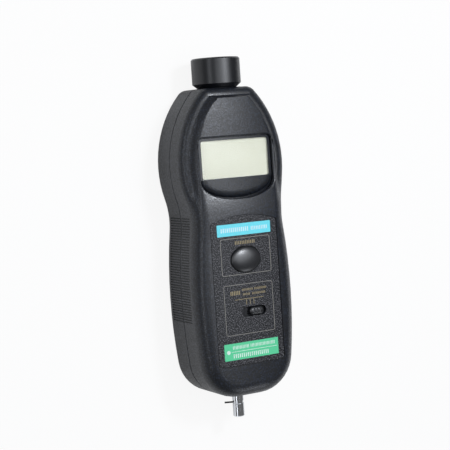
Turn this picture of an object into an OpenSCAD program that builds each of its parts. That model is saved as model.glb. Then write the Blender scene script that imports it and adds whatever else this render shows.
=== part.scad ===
// Handheld tachometer with a laser nose and a contact shaft.
// It lies on its back: +Z out of the display, +Y towards the nose, +X to the right seen from the front.
// All sizes are millimetres. The origin is on the back, half way between nose tip and shaft tip.

/* [Housing] */
// Greatest width, across the head beside the display
head_w = 67; // [62:0.5:76]
// Greatest width of the grip
grip_w = 63.4; // [60:0.2:72]
// Radius of the head's sides, seen from the front
head_r = 60.3; // [56:0.1:70]
// Radius of the hollow of the waist
waist_r = 43; // [36:1:60]
// Radius of the grip's sides
grip_r = 292; // [220:1:400]
// Height of the widest part of the head
head_y = 43; // [40:0.5:46]
// Height of the widest part of the grip
grip_y = -32; // [-40:0.5:-24]
// From the origin to the top of the housing
housing_top = 86; // [84:0.5:90]
// From the origin to the bottom of the housing
housing_bottom = 88.5; // [86:0.5:94]
// Corner radius at the top of the housing
corner_r = 6; // [4:0.5:9]
// Corner radius at the bottom of the housing
bottom_r = 22; // [16:0.5:25]
// Thickness over the grip
body_t = 38; // [36:0.5:42]
// How far the display face lies below the grip's face
head_drop = 2.5; // [1.5:0.1:3.5]
// Height of the parting line, and of the nose and shaft axes
parting_z = 18; // [17:0.25:19.5]
// Wall thickness
wall = 2.4; // [2:0.1:2.8]
// Round of the front edge along the grip
front_r = 8; // [6.5:0.1:9.5]
// Round of the back edge
back_r = 4.5; // [3.5:0.1:5.5]
// How far the cheek round the head lies below the display face
cheek_drop = 3.7; // [2.5:0.1:4.5]
// Round of the cheek's edge
cheek_r = 4; // [3:0.1:5]
// Inset where the step up to the display face starts
step_start = 4.4; // [4:0.1:5]
// Width of that step
step_w = 4.2; // [3.4:0.1:5]
// Width of that step at the top of the head, where it is steeper
step_top_w = 1.6; // [1.2:0.1:3.4]
// Height of the shadow gap between the shells
seam_w = 0.4; // [0.2:0.05:0.7]
// Depth of the shadow gap
seam_depth = 0.5; // [0.3:0.05:0.8]

/* [Grip ribs] */
// Top of the ribbed stretch on the left
rib_top = 14.6; // [10:0.2:18]
// Bottom of the ribbed stretch
rib_bottom = -46; // [-60:0.5:-40]
// Distance from rib to rib
rib_pitch = 1.45; // [1.3:0.05:2.6]
// Width of the grooves
rib_groove = 0.65; // [0.5:0.05:0.9]
// Depth of the grooves
rib_depth = 0.45; // [0.3:0.05:0.8]
// Height where the grooves start above the back
rib_z0 = 5.5; // [5:0.25:9]
// Height where the grooves end
rib_z1 = 28.5; // [25:0.25:29.5]

/* [Display] */
// Width of the opening round the display
opening_w = 46.6; // [45:0.2:48]
// Top of the opening
opening_top = 58.3; // [57.5:0.1:60]
// Lowest point of the opening's curved bottom
opening_bottom = 23.6; // [22:0.1:26]
// Height where the curved bottom starts
smile_y = 34; // [32:0.1:34.8]
// Corner radius at the top of the opening
opening_corner = 2.8; // [1.5:0.1:4]
// Width of the visible display
view_w = 42.8; // [40:0.2:43.6]
// Bottom of the visible display
view_bottom = 35.4; // [35:0.1:37]
// Top of the visible display
view_top = 56.7; // [55:0.1:57]
// How far the window lies below the display face
window_drop = 1.9; // [1.2:0.1:2.3]
// How far the cushion below the display lies under the display face
cushion_drop = 0.5; // [0.1:0.1:1]
// Width of the cushion's rolled edge
cushion_roll = 4.5; // [3:0.1:6]
// Thickness of the display glass
lcd_t = 2.2; // [1.6:0.1:2.4]

/* [Front panel] */
// Width of the printed panel
panel_w = 43; // [40:0.5:46]
// Top of the panel at its middle
panel_top = 14.5; // [13:0.1:14.8]
// Rise of the panel's arched top
panel_arch = 3.5; // [2:0.1:5]
// Bottom of the panel
panel_bottom = -70; // [-72:0.5:-68]
// Corner radius of the panel
panel_corner = 2.6; // [1.5:0.1:4]
// Thickness of the panel
panel_t = 0.4; // [0.3:0.05:0.5]
// Depth of the panel's bed in the shell
panel_bed = 0.6; // [0.55:0.05:0.8]
// Width and height of the blue field
blue_size = [34.4, 6.6]; // [4:0.2:40]
// Middle of the blue field
blue_y = 6.5; // [6:0.1:7.2]
// Width and height of the green field
green_size = [35, 9.4]; // [4:0.2:40]
// Middle of the green field
green_y = -61.7; // [-63:0.1:-60]
// Thickness of the two fields
field_t = 0.15; // [0.1:0.01:0.2]

/* [Controls] */
// Width of the oval memory button
memory_w = 19; // [16:0.5:22]
// Height of the oval memory button
memory_h = 14.8; // [12:0.2:16]
// Middle of the memory button
memory_y = -10.6; // [-12:0.1:-9]
// How far its dome stands above the panel
memory_dome = 2.6; // [1.5:0.1:4]
// Travel of both buttons
press = 0.8; // [0.4:0.05:1]
// Length of the mode switch's slot
slot_w = 15.8; // [14:0.1:18]
// Height of the slot
slot_h = 5.5; // [4.6:0.1:7]
// Middle of the slot
slot_at = [3.4, -40.2]; // [-44:0.1:6]
// Length of the mode knob
knob_w = 9.6; // [8:0.1:11]
// Room between knob and slot at each end of its travel
knob_end_gap = 1.5; // [1:0.1:2]
// How far the knob stands above the panel
knob_proud = 0.9; // [0.3:0.1:2]
// Length of the measure button on the right side
measure_len = 20; // [14:0.5:24]
// Width of the measure button
measure_w = 8.6; // [6:0.2:9.4]
// How far the measure button stands out at the waist
measure_proud = 1.6; // [1:0.1:2.5]

/* [Nose] */
// How far the nose stands out of the housing
nose_out = 17; // [15:0.5:26]
// Diameter of the nose
nose_d = 27.7; // [26.6:0.1:30]
// Diameter where the nose meets the housing
neck_d = 22; // [20:0.1:23]
// Height of the cone between neck and nose
nose_cone = 2.5; // [1.5:0.1:4]
// Diameter of the groove that the shells grip
groove_d = 19.2; // [18.6:0.1:19.6]
// Bore behind the optics
tube_bore_d = 17; // [16.6:0.1:17.4]
// Bore of the cup at the tip
cup_d = 24.2; // [22:0.1:24.6]
// Depth of the cup in front of the window
cup_lip = 1.8; // [1:0.1:3]
// Length of the tube inside the housing
tube_in = 20; // [18:0.5:21]
// Thickness of the nose window
window_t = 1.5; // [1:0.1:2]
// Thickness of the plate that holds lens and laser
optics_t = 4; // [3:0.1:5]
// Diameter of the receiver lens
lens_d = 9.6; // [8:0.1:9.8]
// Offset of the lens from the axis, towards the front
lens_off = 3.2; // [3:0.1:3.6]
// Diameter of the laser module
laser_d = 5.6; // [5:0.1:5.8]
// Length of the laser module
laser_len = 21; // [15:0.5:24]
// Offset of the laser from the axis, towards the back
laser_off = 5.2; // [5.1:0.1:5.4]

/* [Contact shaft] */
// How far the shaft stands out of the housing
shaft_out = 14.5; // [13:0.5:22]
// Diameter of the shaft outside the housing
shaft_d = 6.5; // [6:0.1:8]
// Diameter of the shaft in its bushes
journal_d = 5; // [4:0.1:5.4]
// From the shaft tip to the drive pin
pin_from_tip = 8.4; // [7.6:0.1:9]
// Diameter of the drive pin
pin_d = 1; // [0.8:0.05:1.4]
// How far the drive pin stands out
pin_out = 4.6; // [3:0.1:6]
// Turn of the drive pin about the shaft
pin_turn = 25; // [0:1:359]
// Diameter of the bearing block
bearing_d = 14; // [13:0.1:15]
// Length of the bearing block
bearing_len = 16; // [15:0.1:16.2]
// Outside diameter of the bushes
bush_d = 9; // [8:0.1:10]
// Length of each bush
bush_len = 5; // [4:0.1:6]
// Diameter of the slotted disc
disc_d = 20; // [18:0.2:22]
// Thickness of the slotted disc
disc_t = 0.8; // [0.5:0.05:1.2]
// Number of slots in the disc
disc_slots = 12; // [8:1:16]

/* [Power] */
// Diameter of a cell
cell_d = 14.4; // [13.6:0.1:14.5]
// Length of a cell with its button
cell_len = 50.5; // [48:0.1:51]
// Number of cells side by side
cell_count = 3; // [3:1:3]
// Distance from cell to cell
cell_pitch = 14.7; // [14.6:0.1:15]
// Top of the battery box
box_top = -0.2; // [-2:0.1:0]
// Length left for a contact spring
spring_room = 6.3; // [5:0.1:6.6]
// Wall of the battery box
box_wall = 1.6; // [1.2:0.1:1.8]
// Thickness of the battery door
door_t = 1.5; // [1.2:0.1:1.6]
// How far the door lies below the back
door_sunk = 0.25; // [0.2:0.05:0.4]

/* [Board and screws] */
// From the grip's face to the circuit board
board_depth = 9.4; // [9:0.1:10]
// Thickness of the circuit boards
board_t = 1.6; // [1:0.1:1.8]
// From the housing's top to the upper housing screws
screw_from_top = 20; // [18:0.5:22]
// From the housing's bottom to the lower housing screws
screw_from_bottom = 12.5; // [11:0.5:14]
// From the housing's side to the housing screws
screw_inset = 8.4; // [8.2:0.1:8.8]
// Diameter of the housing screws
screw_d = 2.9; // [2.6:0.1:3.2]
// From the board's edge to its screws
post_inset = 2.9; // [2.7:0.1:3.5]
// Height of the lower board screws
post_low = -54; // [-55:0.5:-50]
// Diameter of the board screws
board_screw_d = 1.9; // [1.6:0.1:2.2]
// Width of the flexible strips between the boards
ribbon_w = 6; // [4:0.5:8]
// Thickness of the flexible strips
ribbon_t = 0.3; // [0.2:0.05:0.4]

/* [Clearances] */
// Between parts that are put together
fit = 0.1; // [0.05:0.01:0.15]
// Between parts that move past each other
slide = 0.3; // [0.25:0.01:0.4]
// Between shaft and bush
running = 0.03; // [0.015:0.005:0.06]

/* [Hidden] */
$fn = 48;

// Small lengths that many pieces share
embed = 0.5;
over = 1;
flange_t = 1.1;
lip_w = 1.3;
contact_t = 0.4;
rib_clear = 3;

// Tips and heights
nose_tip = housing_top + nose_out;
shaft_tip = housing_bottom + shaft_out;
axis_z = parting_z;
grip_z = body_t;
head_z = body_t - head_drop;
cheek_z = head_z - cheek_drop;
board_top = body_t - board_depth;
board_bottom = board_top - board_t;
panel_floor = grip_z - panel_bed;
panel_face = panel_floor + panel_t;
ceiling_grip = grip_z - wall;
ceiling_head = head_z - wall;
blend_low = 15;
blend_high = 35;

// Centres of the outline's arcs, which meet tangentially
head_c = [head_w / 2 - head_r, head_y];
grip_c = [grip_w / 2 - grip_r, grip_y];
waist_c = meeting_point(head_c, head_r + waist_r, grip_c, grip_r + waist_r);
foot_y = bottom_r - housing_bottom;
foot_c = [grip_c.x + sqrt(pow(grip_r - bottom_r, 2) - pow(foot_y - grip_c.y, 2)), foot_y];
head_end = bearing_of(waist_c - head_c);
grip_start = bearing_of(waist_c - grip_c);
grip_end = bearing_of(foot_c - grip_c);
waist_x = waist_c.x - waist_r;

// Measure button, its switch and the board edge, in a chain inwards from the waist
measure_y = waist_c.y;
switch_side = 6.2;
measure_z = board_bottom - switch_side / 2;
measure_flange_x1 = waist_x - wall - slide;
measure_flange_x0 = measure_flange_x1 - flange_t;
plunger_room = 2.6;
board_half = measure_flange_x0 - plunger_room;
plunger_d = 3.4;
plunger_sunk = 0.4;
plunger_spare = 0.2;
plunger_bore = plunger_sunk + press + plunger_spare;
plunger_out = 1.2;
switch_t = 3.6;
switch_gap = 1;

// Screws that close the housing and hold the board
screw_head_z = 7;
screw_head_d = 5.4;
screw_head_t = 2;
screw_slot = [3, 0.7, 2];
screw_grip = 8;
front_boss_r = 3.4;
rear_boss_r = 4;
screw_at = [
  [head_x(housing_top - screw_from_top) - screw_inset, housing_top - screw_from_top],
  [foot_x(screw_from_bottom - housing_bottom) - screw_inset, screw_from_bottom - housing_bottom]
];
board_head_d = 3.6;
board_head_t = 1.3;
board_screw_grip = 4.5;
post_r = 2.4;
post_at = [
  [board_half - post_inset, measure_y + switch_side / 2 + switch_gap + board_head_d / 2],
  [board_half - post_inset, post_low]
];

// Memory button and its switch
memory_flange_z1 = ceiling_grip - fit;
memory_flange_z0 = memory_flange_z1 - flange_t;
memory_switch_z1 = memory_flange_z0 - press - slide - plunger_out;

// Mode switch: at rest the knob stands at the right of its slot
knob_travel = slot_w - knob_w - 2 * knob_end_gap;
knob_x = slot_at.x + knob_travel / 2;
knob_h = slot_h - 2 * slide;
knob_flange_z1 = ceiling_grip - fit;
knob_flange_z0 = knob_flange_z1 - flange_t;
knob_lap = 1.9;
knob_plate_half = (slot_w + knob_travel) / 2 + knob_lap;
knob_plate_corner = 1;
notch_pitch = 2;
notch_r = 0.5;
lever_w = 2;
lever_room = 1.4;
mode_switch_z1 = knob_flange_z0 - lever_room;
mode_switch_size = [12, 6];

// Display
bezel_back = ceiling_head - fit - flange_t;
window_z = head_z - window_drop;
cushion_z = head_z - cushion_drop;
cushion_gap = 0.2;
cushion_top = view_bottom - cushion_gap;
view_corner = 1.4;
lcd_side = 1.6;
lcd_end = 3;
zebra_w = 2;
zebra_edge = 0.4;
field_corner = 0.4;
lcd_z0 = bezel_back - lcd_t;

// Battery box, from its top downwards
cell_room = cell_len + spring_room + 2 * contact_t + 2 * fit;
box_in_top = box_top - box_wall;
box_in_bottom = box_in_top - cell_room;
box_bottom = box_in_bottom - box_wall;
box_in_half = (cell_count - 1) / 2 * cell_pitch + cell_d / 2 + slide;
box_half = box_in_half + box_wall;
door_ledge = door_sunk + door_t + fit;
cell_z = door_ledge + slide + cell_d / 2;
cell_gap = 0.2;
box_ceiling = cell_z + cell_d / 2 + cell_gap;
cell_edge = 0.6;
cell_button_r = 2.7;
cell_button = 1.2;
plate_half = 4.4;
tag_half = 1.2;
spring_wide = 4.2;
spring_narrow = 2.4;
spring_wire = 0.35;
spring_turns = 4;
hook_x = 13;
hook_w = 5;
hook_reach = 1.7;
hook_t = 1.2;
hook_leg = 2;
hook_room = 5;
door_corner = 3;
door_groove = [14, 1];
door_groove_pitch = 2.2;
door_groove_depth = 0.5;
door_groove_from = 4;
tongue_half = 9;
tongue_cut = 1;
tongue_len = 14;
thumb_r = 8;
thumb_depth = 0.9;
thumb_off = 2;
back_bevel = 1;

// Contact shaft, from the housing's bottom upwards
bottom_in = wall - housing_bottom;
bearing_y0 = bottom_in + slide / 2;
bearing_y1 = bearing_y0 + bearing_len;
shoulder_y = bearing_y0 - slide;
pin_y = pin_from_tip - shaft_tip;
relief_half = 0.8;
relief_depth = 0.3;
pin_seat = 0.4;
ring_t = 0.7;
ring_out = 1.4;
ring_groove = 0.4;
ring_play = 0.05;
ring_mouth = 3.2;
ring_y0 = bearing_y1 + slide;
hub_y0 = ring_y0 + ring_t + fit;
hub_len = 4;
hub_wall = 1.8;
hub_spigot = 1;
disc_seat = 2.2;
disc_y = hub_y0 + disc_seat;
disc_rim = 0.8;
disc_slot = [2.8, 1.4];
shaft_past_hub = 0.5;
shaft_end = hub_y0 + hub_len + shaft_past_hub;
encoder_t = 1.2;
encoder_w = 18;
encoder_h = 11;
encoder_room = 2;
encoder_z = axis_z + disc_d / 2 + encoder_room;
encoder_y = disc_y + disc_t / 2;
encoder_post_r = 1.8;
encoder_post_x = 7;
interrupter = [5, 6.4, 6.2];
interrupter_gap = 2.8;
disc_clear = 0.6;
bearing_collar = 2.4;
bearing_flange = 1.4;
bush_stop = 1;
bearing_saddle_half = 12;
nose_saddle_half = 14;
saddle_in = 4;
saddle_t = 2;

// Ends of the main board: it reaches from behind the display to the lower battery contact
board_above = 4.6;
board_below = 1.8;
board_high = view_top + board_above;
board_low = box_in_bottom - board_below;
board_corner = 2;
board_side = 3;
board_wide_from = 6;
chip_side = 11;
chip_t = 2.2;
chip_at = [-9.5, -25.5];
crystal = [11, 4.6, 3.4];
crystal_at = [7, -24];

// Nose, from the tip inwards
window_y = nose_tip - cup_lip;
optics_y = window_y - window_t;
cup_floor = optics_y - optics_t;
tube_end = housing_top - wall - tube_in;
sensor_in = 1.4;
sensor_y = tube_end + sensor_in;
tube_wall = 1.2;
nose_edge = 0.8;
optics_in = 0.4;
lens_crown = 1.2;
lens_edge = 1.4;
laser_step = 0.6;
laser_tail = 3;
aperture = [1.2, 1];
diode_flange = [2.9, 1];
diode_can = [2.5, 4];
diode_dome = [1.8, 5.6];
diode_len = 6.4;

// Flexible strips: how far each lies on its boards, and where it bends
sensor_strip_off = 3;
sensor_strip_bend = 0.6;
sensor_strip_edge = 1;
sensor_strip_lap = 6;
encoder_strip_lap = 3.2;
encoder_strip_bend = 1;
encoder_strip_fall = 3.5;
encoder_strip_hold = 4.5;

function lerp(a, b, t) = a + (b - a) * t;
function ease(t) = let (u = max(0, min(1, t))) u * u * (3 - 2 * u);
function bearing_of(v) = atan2(v.y, v.x);

// The right-hand point where two circles cross
function meeting_point(c0, r0, c1, r1) =
  let (
    way = c1 - c0,
    far = norm(way),
    along = (r0 * r0 - r1 * r1 + far * far) / (2 * far),
    aside = sqrt(r0 * r0 - along * along)
  )
  c0 + way * along / far + [-way.y, way.x] * aside / far;

function arc(c, r, a0, a1, n, first = 0) =
  [for (i = [first : n]) c + r * [cos(lerp(a0, a1, i / n)), sin(lerp(a0, a1, i / n))]];
function mirrored(p) = [for (i = [len(p) - 1 : -1 : 0]) [-p[i].x, p[i].y]];
function both_sides(p) = concat(p, mirrored(p));

// Right half of the housing's outline from top to bottom, moved inwards by d, and at the top by less than that
function half_outline(d, less = 0) =
  let (
    r = max(corner_r - d, 1),
    y = housing_top - d + less - r,
    x = head_c.x + sqrt(pow(head_r - d - r, 2) - pow(y - head_c.y, 2)),
    head_start = bearing_of([x, y] - head_c)
  )
  concat(
    arc([x, y], r, 90, head_start, 4),
    arc(head_c, head_r - d, head_start, head_end, 14, 1),
    arc(waist_c, waist_r + d, 180 + head_end, 180 + grip_start, 7, 1),
    arc(grip_c, grip_r - d, grip_start, grip_end, 8, 1),
    arc(foot_c, bottom_r - d, grip_end, -90, 9, 1)
  );

// Half width of the housing at height y, beside the display and round the foot
function head_x(y) = head_c.x + sqrt(pow(head_r, 2) - pow(y - head_c.y, 2));
function foot_x(y) = foot_c.x + sqrt(pow(bottom_r, 2) - pow(y - foot_c.y, 2));

// How much of the head's section each outline point takes: 0 on the grip, 1 on the head
head_share = [for (p = half_outline(0)) ease((p.y - blend_low) / (blend_high - blend_low))];

// Half width of the housing's side below the head, at height y
function side_x(y) =
  y > waist_c.y + waist_r * sin(180 + grip_start)
    ? waist_c.x - sqrt(pow(waist_r, 2) - pow(y - waist_c.y, 2))
    : grip_c.x + sqrt(pow(grip_r, 2) - pow(y - grip_c.y, 2));

// Sections of the front edge as [inset, height], with as many points on the grip as on the head.
// On the head's step a third value says how much less the inset is at the top.
edge_n = 8;
function grip_edge(i) =
  let (a = 90 * i / edge_n)
  [front_r * (1 - cos(a)), grip_z - front_r * (1 - sin(a))];
function head_edge(i) =
  i < 4
    ? let (a = 80 * i / 3) [cheek_r * (1 - cos(a)), cheek_z - cheek_r * (1 - sin(a))]
    : let (t = (i - 4) / (edge_n - 4))
      [step_start + step_w * t, lerp(cheek_z, head_z, ease(t)), (step_w - step_top_w) * t];
function seam_edge(side) = [
  [seam_depth, parting_z],
  [seam_depth, parting_z + side * seam_w / 2],
  [0, parting_z + side * (seam_w / 2 + seam_depth / 2)]
];
front_grip_edge = concat(seam_edge(1), [for (i = [0 : edge_n]) grip_edge(i)]);
front_head_edge = concat(seam_edge(1), [for (i = [0 : edge_n]) head_edge(i)]);

// Sections of the cavity behind it
inner_r = front_r - wall;
cavity_grip_edge = concat(
  [[wall, parting_z - over]],
  [for (a = [0 : 30 : 90]) [wall + inner_r * (1 - cos(a)), ceiling_grip - inner_r * (1 - sin(a))]]
);
cavity_head_edge = [
  [wall, parting_z - over],
  [wall, cheek_z - cheek_r],
  [wall + cheek_r / 2, cheek_z - wall],
  [step_start + wall, cheek_z - wall],
  [step_start + step_w + wall, ceiling_head]
];

// Rings of a loft whose section changes from grip to head
function blended_rings(grip, head) =
  [for (k = [0 : len(grip) - 1])
    let (
      g = half_outline(grip[k][0]),
      h = half_outline(head[k][0], len(head[k]) > 2 ? head[k][2] : 0),
      right = [for (i = [0 : len(g) - 1])
        let (p = lerp(g[i], h[i], head_share[i]))
        [p.x, p.y, lerp(grip[k][1], head[k][1], head_share[i])]]
    )
    concat(right, [for (i = [len(right) - 1 : -1 : 0]) [-right[i].x, right[i].y, right[i].z]])];

function flat_ring(p, z) = [for (q = p) [q.x, q.y, z]];
function plain_rings(edge) = [for (e = edge) flat_ring(both_sides(half_outline(e[0])), e[1])];

// A closed solid through rings of equal length, each clockwise from above, from the lowest up.
// Its two ends are closed by strips that join each point to its opposite number.
module loft(rings) {
  n = len(rings[0]);
  top = (len(rings) - 1) * n;
  sides = [for (k = [0 : len(rings) - 2], i = [0 : n - 1])
    let (a = k * n + i, b = k * n + (i + 1) % n)
    each [[a, b, b + n], [a, b + n, a + n]]];
  lid = [for (i = [0 : n / 2 - 2])
    each [[top + i, top + i + 1, top + n - 2 - i], [top + i, top + n - 2 - i, top + n - 1 - i]]];
  floor_strip = [for (i = [0 : n / 2 - 2])
    each [[i + 1, i, n - 1 - i], [i + 1, n - 1 - i, n - 2 - i]]];
  polyhedron([for (ring = rings) each ring], concat(sides, lid, floor_strip));
}

function ellipse(a, b, at, n = 48) =
  [for (i = [0 : n - 1]) let (t = 90 - (i + 0.5) * 360 / n) at + [a * cos(t), b * sin(t)]];

// Cylinders along each axis, and a solid turned about a line along Y from [radius, y] points
module zcyl(r, z0, z1, at = [0, 0]) {
  translate([at.x, at.y, z0]) cylinder(h = z1 - z0, r = r);
}
module ycyl(r, y0, y1, x = 0, z = axis_z) {
  translate([x, y1, z]) rotate([90, 0, 0]) cylinder(h = y1 - y0, r = r);
}
module xcyl(r, x0, x1, y, z) {
  translate([x0, y, z]) rotate([0, 90, 0]) cylinder(h = x1 - x0, r = r);
}
module turned(profile, z = axis_z) {
  translate([0, 0, z]) rotate([-90, 0, 0]) rotate_extrude() polygon(profile);
}
module block(x, y, z) {
  translate([x[0], y[0], z[0]]) cube([x[1] - x[0], y[1] - y[0], z[1] - z[0]]);
}
module layer(z0, z1) {
  translate([0, 0, z0]) linear_extrude(z1 - z0) children();
}
module rounded_rect(x, y, r) {
  translate([x[0] + r, y[0]]) square([x[1] - x[0] - 2 * r, y[1] - y[0]]);
  translate([x[0], y[0] + r]) square([x[1] - x[0], y[1] - y[0] - 2 * r]);
  for (cx = [x[0] + r, x[1] - r], cy = [y[0] + r, y[1] - r]) translate([cx, cy]) circle(r);
}
module square_between(x, y) {
  translate([x[0], y[0]]) square([x[1] - x[0], y[1] - y[0]]);
}
module obround(w, h, at) {
  translate(at) {
    square([w - h, h], center = true);
    for (s = [-1, 1]) translate([s * (w - h) / 2, 0]) circle(h / 2);
  }
}
module right_and_left() {
  children();
  mirror([1, 0, 0]) children();
}

// Outlines that several pieces share, each moved inwards by d
module display_outline(d) {
  half = opening_w / 2 - d;
  r = max(opening_corner - d, 0.8);
  depth = smile_y - opening_bottom - d;
  polygon(both_sides(concat(
    arc([half - r, opening_top - d - r], r, 90, 0, 6),
    [for (i = [0 : 14]) let (a = -i * 6) [half * cos(a), smile_y + depth * sin(a)]]
  )));
}
module panel_outline(d) {
  arch_r = (pow(panel_w / 2, 2) + pow(panel_arch, 2)) / (2 * panel_arch);
  arch_c = [0, panel_top - arch_r];
  x = panel_w / 2 - panel_corner;
  y = arch_c.y + sqrt(pow(arch_r - panel_corner, 2) - x * x);
  turn = bearing_of([x, y] - arch_c);
  polygon(both_sides(concat(
    arc(arch_c, arch_r - d, 89, turn, 8),
    arc([x, y], panel_corner - d, turn, 0, 5, 1),
    arc([x, panel_bottom + panel_corner], panel_corner - d, 0, -90, 5)
  )));
}
module memory_outline(d) {
  polygon(ellipse(memory_w / 2 - d, memory_h / 2 - d, [0, memory_y]));
}
module slot_outline(d) {
  obround(slot_w - 2 * d, slot_h - 2 * d, slot_at);
}
module measure_outline(d) {
  translate([0, measure_y, measure_z]) rotate([90, 0, 90]) linear_extrude(body_t)
    obround(measure_len - 2 * d, measure_w - 2 * d, [0, 0]);
}
module lcd_outline(d) {
  half = view_w / 2 + lcd_side - d;
  square_between([-half, half], [view_bottom - lcd_end + d, view_top + lcd_end - d]);
}
module door_outline(d) {
  rounded_rect([-box_half + d, box_half - d], [box_bottom + d, box_top - d], door_corner - d);
}

// Toothed cutter that leaves the grip ribs standing on the right-hand side
module rib_cutter(y_top) {
  n = floor((y_top - rib_bottom) / rib_pitch);
  teeth = [for (i = [0 : n - 1])
    let (y = y_top - i * rib_pitch, low = y - rib_groove)
    each [
      [side_x(y) + over, y], [side_x(y) - rib_depth, y],
      [side_x(low) - rib_depth, low], [side_x(low) + over, low]
    ]];
  layer(rib_z0, rib_z1)
    polygon(concat(teeth, [[head_w / 2 + over, y_top - n * rib_pitch], [head_w / 2 + over, y_top]]));
}
module grip_ribs() {
  rib_cutter(measure_y - measure_len / 2 - rib_clear);
  mirror([1, 0, 0]) rib_cutter(rib_top);
}

// Bores that both shells share, half in each
module axis_bores() {
  ycyl(groove_d / 2 + fit, housing_top - wall - over, housing_top + over);
  ycyl(neck_d / 2 + slide, tube_end - over, housing_top - wall);
  ycyl(shaft_d / 2 + slide, -housing_bottom - over, bottom_in + over);
}
module cradle(z0, nose_z1, bearing_z1) {
  difference() {
    union() {
      block([-nose_saddle_half, nose_saddle_half],
        [tube_end + saddle_in, tube_end + saddle_in + saddle_t], [z0, nose_z1]);
      block([-bearing_saddle_half, bearing_saddle_half],
        [bearing_y0 + bearing_collar + fit, bearing_y0 + bearing_collar + saddle_t], [z0, bearing_z1]);
    }
    ycyl(neck_d / 2 + fit, tube_end, housing_top);
    ycyl(bearing_d / 2 + fit, bearing_y0, bearing_y1);
  }
}

module front_shell() {
  color([0.13, 0.13, 0.14]) difference() {
    union() {
      difference() {
        loft(blended_rings(front_grip_edge, front_head_edge));
        loft(blended_rings(cavity_grip_edge, cavity_head_edge));
        axis_bores();
      }
      cradle(parting_z, ceiling_head + embed, ceiling_grip);
      right_and_left() {
        zcyl(front_boss_r, parting_z, cheek_z - wall + embed, screw_at[0]);
        zcyl(front_boss_r, parting_z, ceiling_grip - embed, screw_at[1]);
        for (at = post_at) zcyl(post_r, board_top, ceiling_grip + embed, at);
        zcyl(encoder_post_r, encoder_z + encoder_t, ceiling_grip + embed, [encoder_post_x, encoder_y]);
      }
    }
    layer(bezel_back, grip_z + over) display_outline(0);
    // Pocket behind the opening for the bezel's flange and the display glass
    layer(lcd_z0 - slide, ceiling_head) {
      display_outline(-lip_w - slide);
      lcd_outline(-slide);
    }
    layer(panel_floor, grip_z + over) panel_outline(0);
    layer(knob_flange_z1, grip_z) slot_outline(0);
    layer(memory_flange_z1, grip_z) memory_outline(-slide);
    measure_outline(-slide);
    right_and_left() {
      for (at = screw_at) zcyl(screw_d / 2 + fit / 2, parting_z - over, parting_z + screw_grip + over, at);
      for (at = post_at)
        zcyl(board_screw_d / 2 + fit / 2, board_top - over, board_top + board_screw_grip + embed, at);
    }
    grip_ribs();
  }
}

module rear_shell() {
  bevel = back_r + back_bevel;
  cavity = [[bevel, wall], [wall, bevel], [wall, parting_z + over]];
  back_edge = [for (a = [90 : -22.5 : 0]) [back_r * (1 - cos(a)), back_r * (1 - sin(a))]];
  seam = seam_edge(-1);
  color([0.12, 0.12, 0.13]) difference() {
    union() {
      difference() {
        loft(plain_rings(concat(back_edge, [seam[2], seam[1], seam[0]])));
        loft(plain_rings(cavity));
        axis_bores();
      }
      cradle(wall - embed, parting_z, parting_z);
      right_and_left() for (at = screw_at) zcyl(rear_boss_r, wall - embed, parting_z, at);
      layer(embed, box_ceiling + box_wall) door_outline(0);
    }
    layer(-over, door_ledge) door_outline(0);
    block([-box_in_half, box_in_half], [box_in_bottom, box_in_top], [embed, box_ceiling]);
    right_and_left() {
      for (at = screw_at) {
        zcyl(screw_head_d / 2 + slide, -over, screw_head_z, at);
        zcyl(screw_d / 2 + slide, 0, parting_z + over, at);
      }
      hook_window([box_bottom, box_in_bottom + over], [door_ledge - embed, wall + embed]);
      hook_window([box_bottom - over, box_in_bottom + over], [wall, wall + hook_room]);
    }
    terminal_tags(slide);
    // Hollow for a fingertip above the door
    zcyl(thumb_r, -over, thumb_depth, [0, box_top + thumb_off]);
    measure_outline(-slide);
    grip_ribs();
  }
}

module hook_window(y, z) {
  block([hook_x - slide, hook_x + hook_w + slide], y, z);
}

module battery_door() {
  hook_z = wall + slide;
  color([0.12, 0.12, 0.13]) difference() {
    union() {
      layer(door_sunk, door_sunk + door_t) door_outline(slide);
      right_and_left() {
        block([hook_x, hook_x + hook_w], [box_in_bottom + slide, box_in_bottom + hook_leg],
          [door_sunk + door_t - embed, hook_z + hook_t]);
        block([hook_x, hook_x + hook_w], [box_bottom - hook_reach, box_in_bottom + hook_leg / 2],
          [hook_z, hook_z + hook_t]);
      }
    }
    // Finger grooves and the two cuts that free the latch tongue
    for (i = [0 : 4]) let (y = box_top - door_groove_from - i * door_groove_pitch)
      block([-door_groove.x / 2, door_groove.x / 2], [y - door_groove.y, y],
        [0, door_sunk + door_groove_depth]);
    right_and_left() block([tongue_half, tongue_half + tongue_cut], [box_top - tongue_len, box_top], [0, wall]);
  }
}

module housing_screws() {
  color("silver") right_and_left() for (at = screw_at) difference() {
    union() {
      zcyl(screw_head_d / 2, screw_head_z - screw_head_t, screw_head_z, at);
      zcyl(screw_d / 2, screw_head_z - embed, parting_z + screw_grip, at);
    }
    for (turn = [0, 90]) translate([at.x, at.y, screw_head_z - screw_head_t]) rotate(turn)
      cube(screw_slot, center = true);
  }
}

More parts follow.
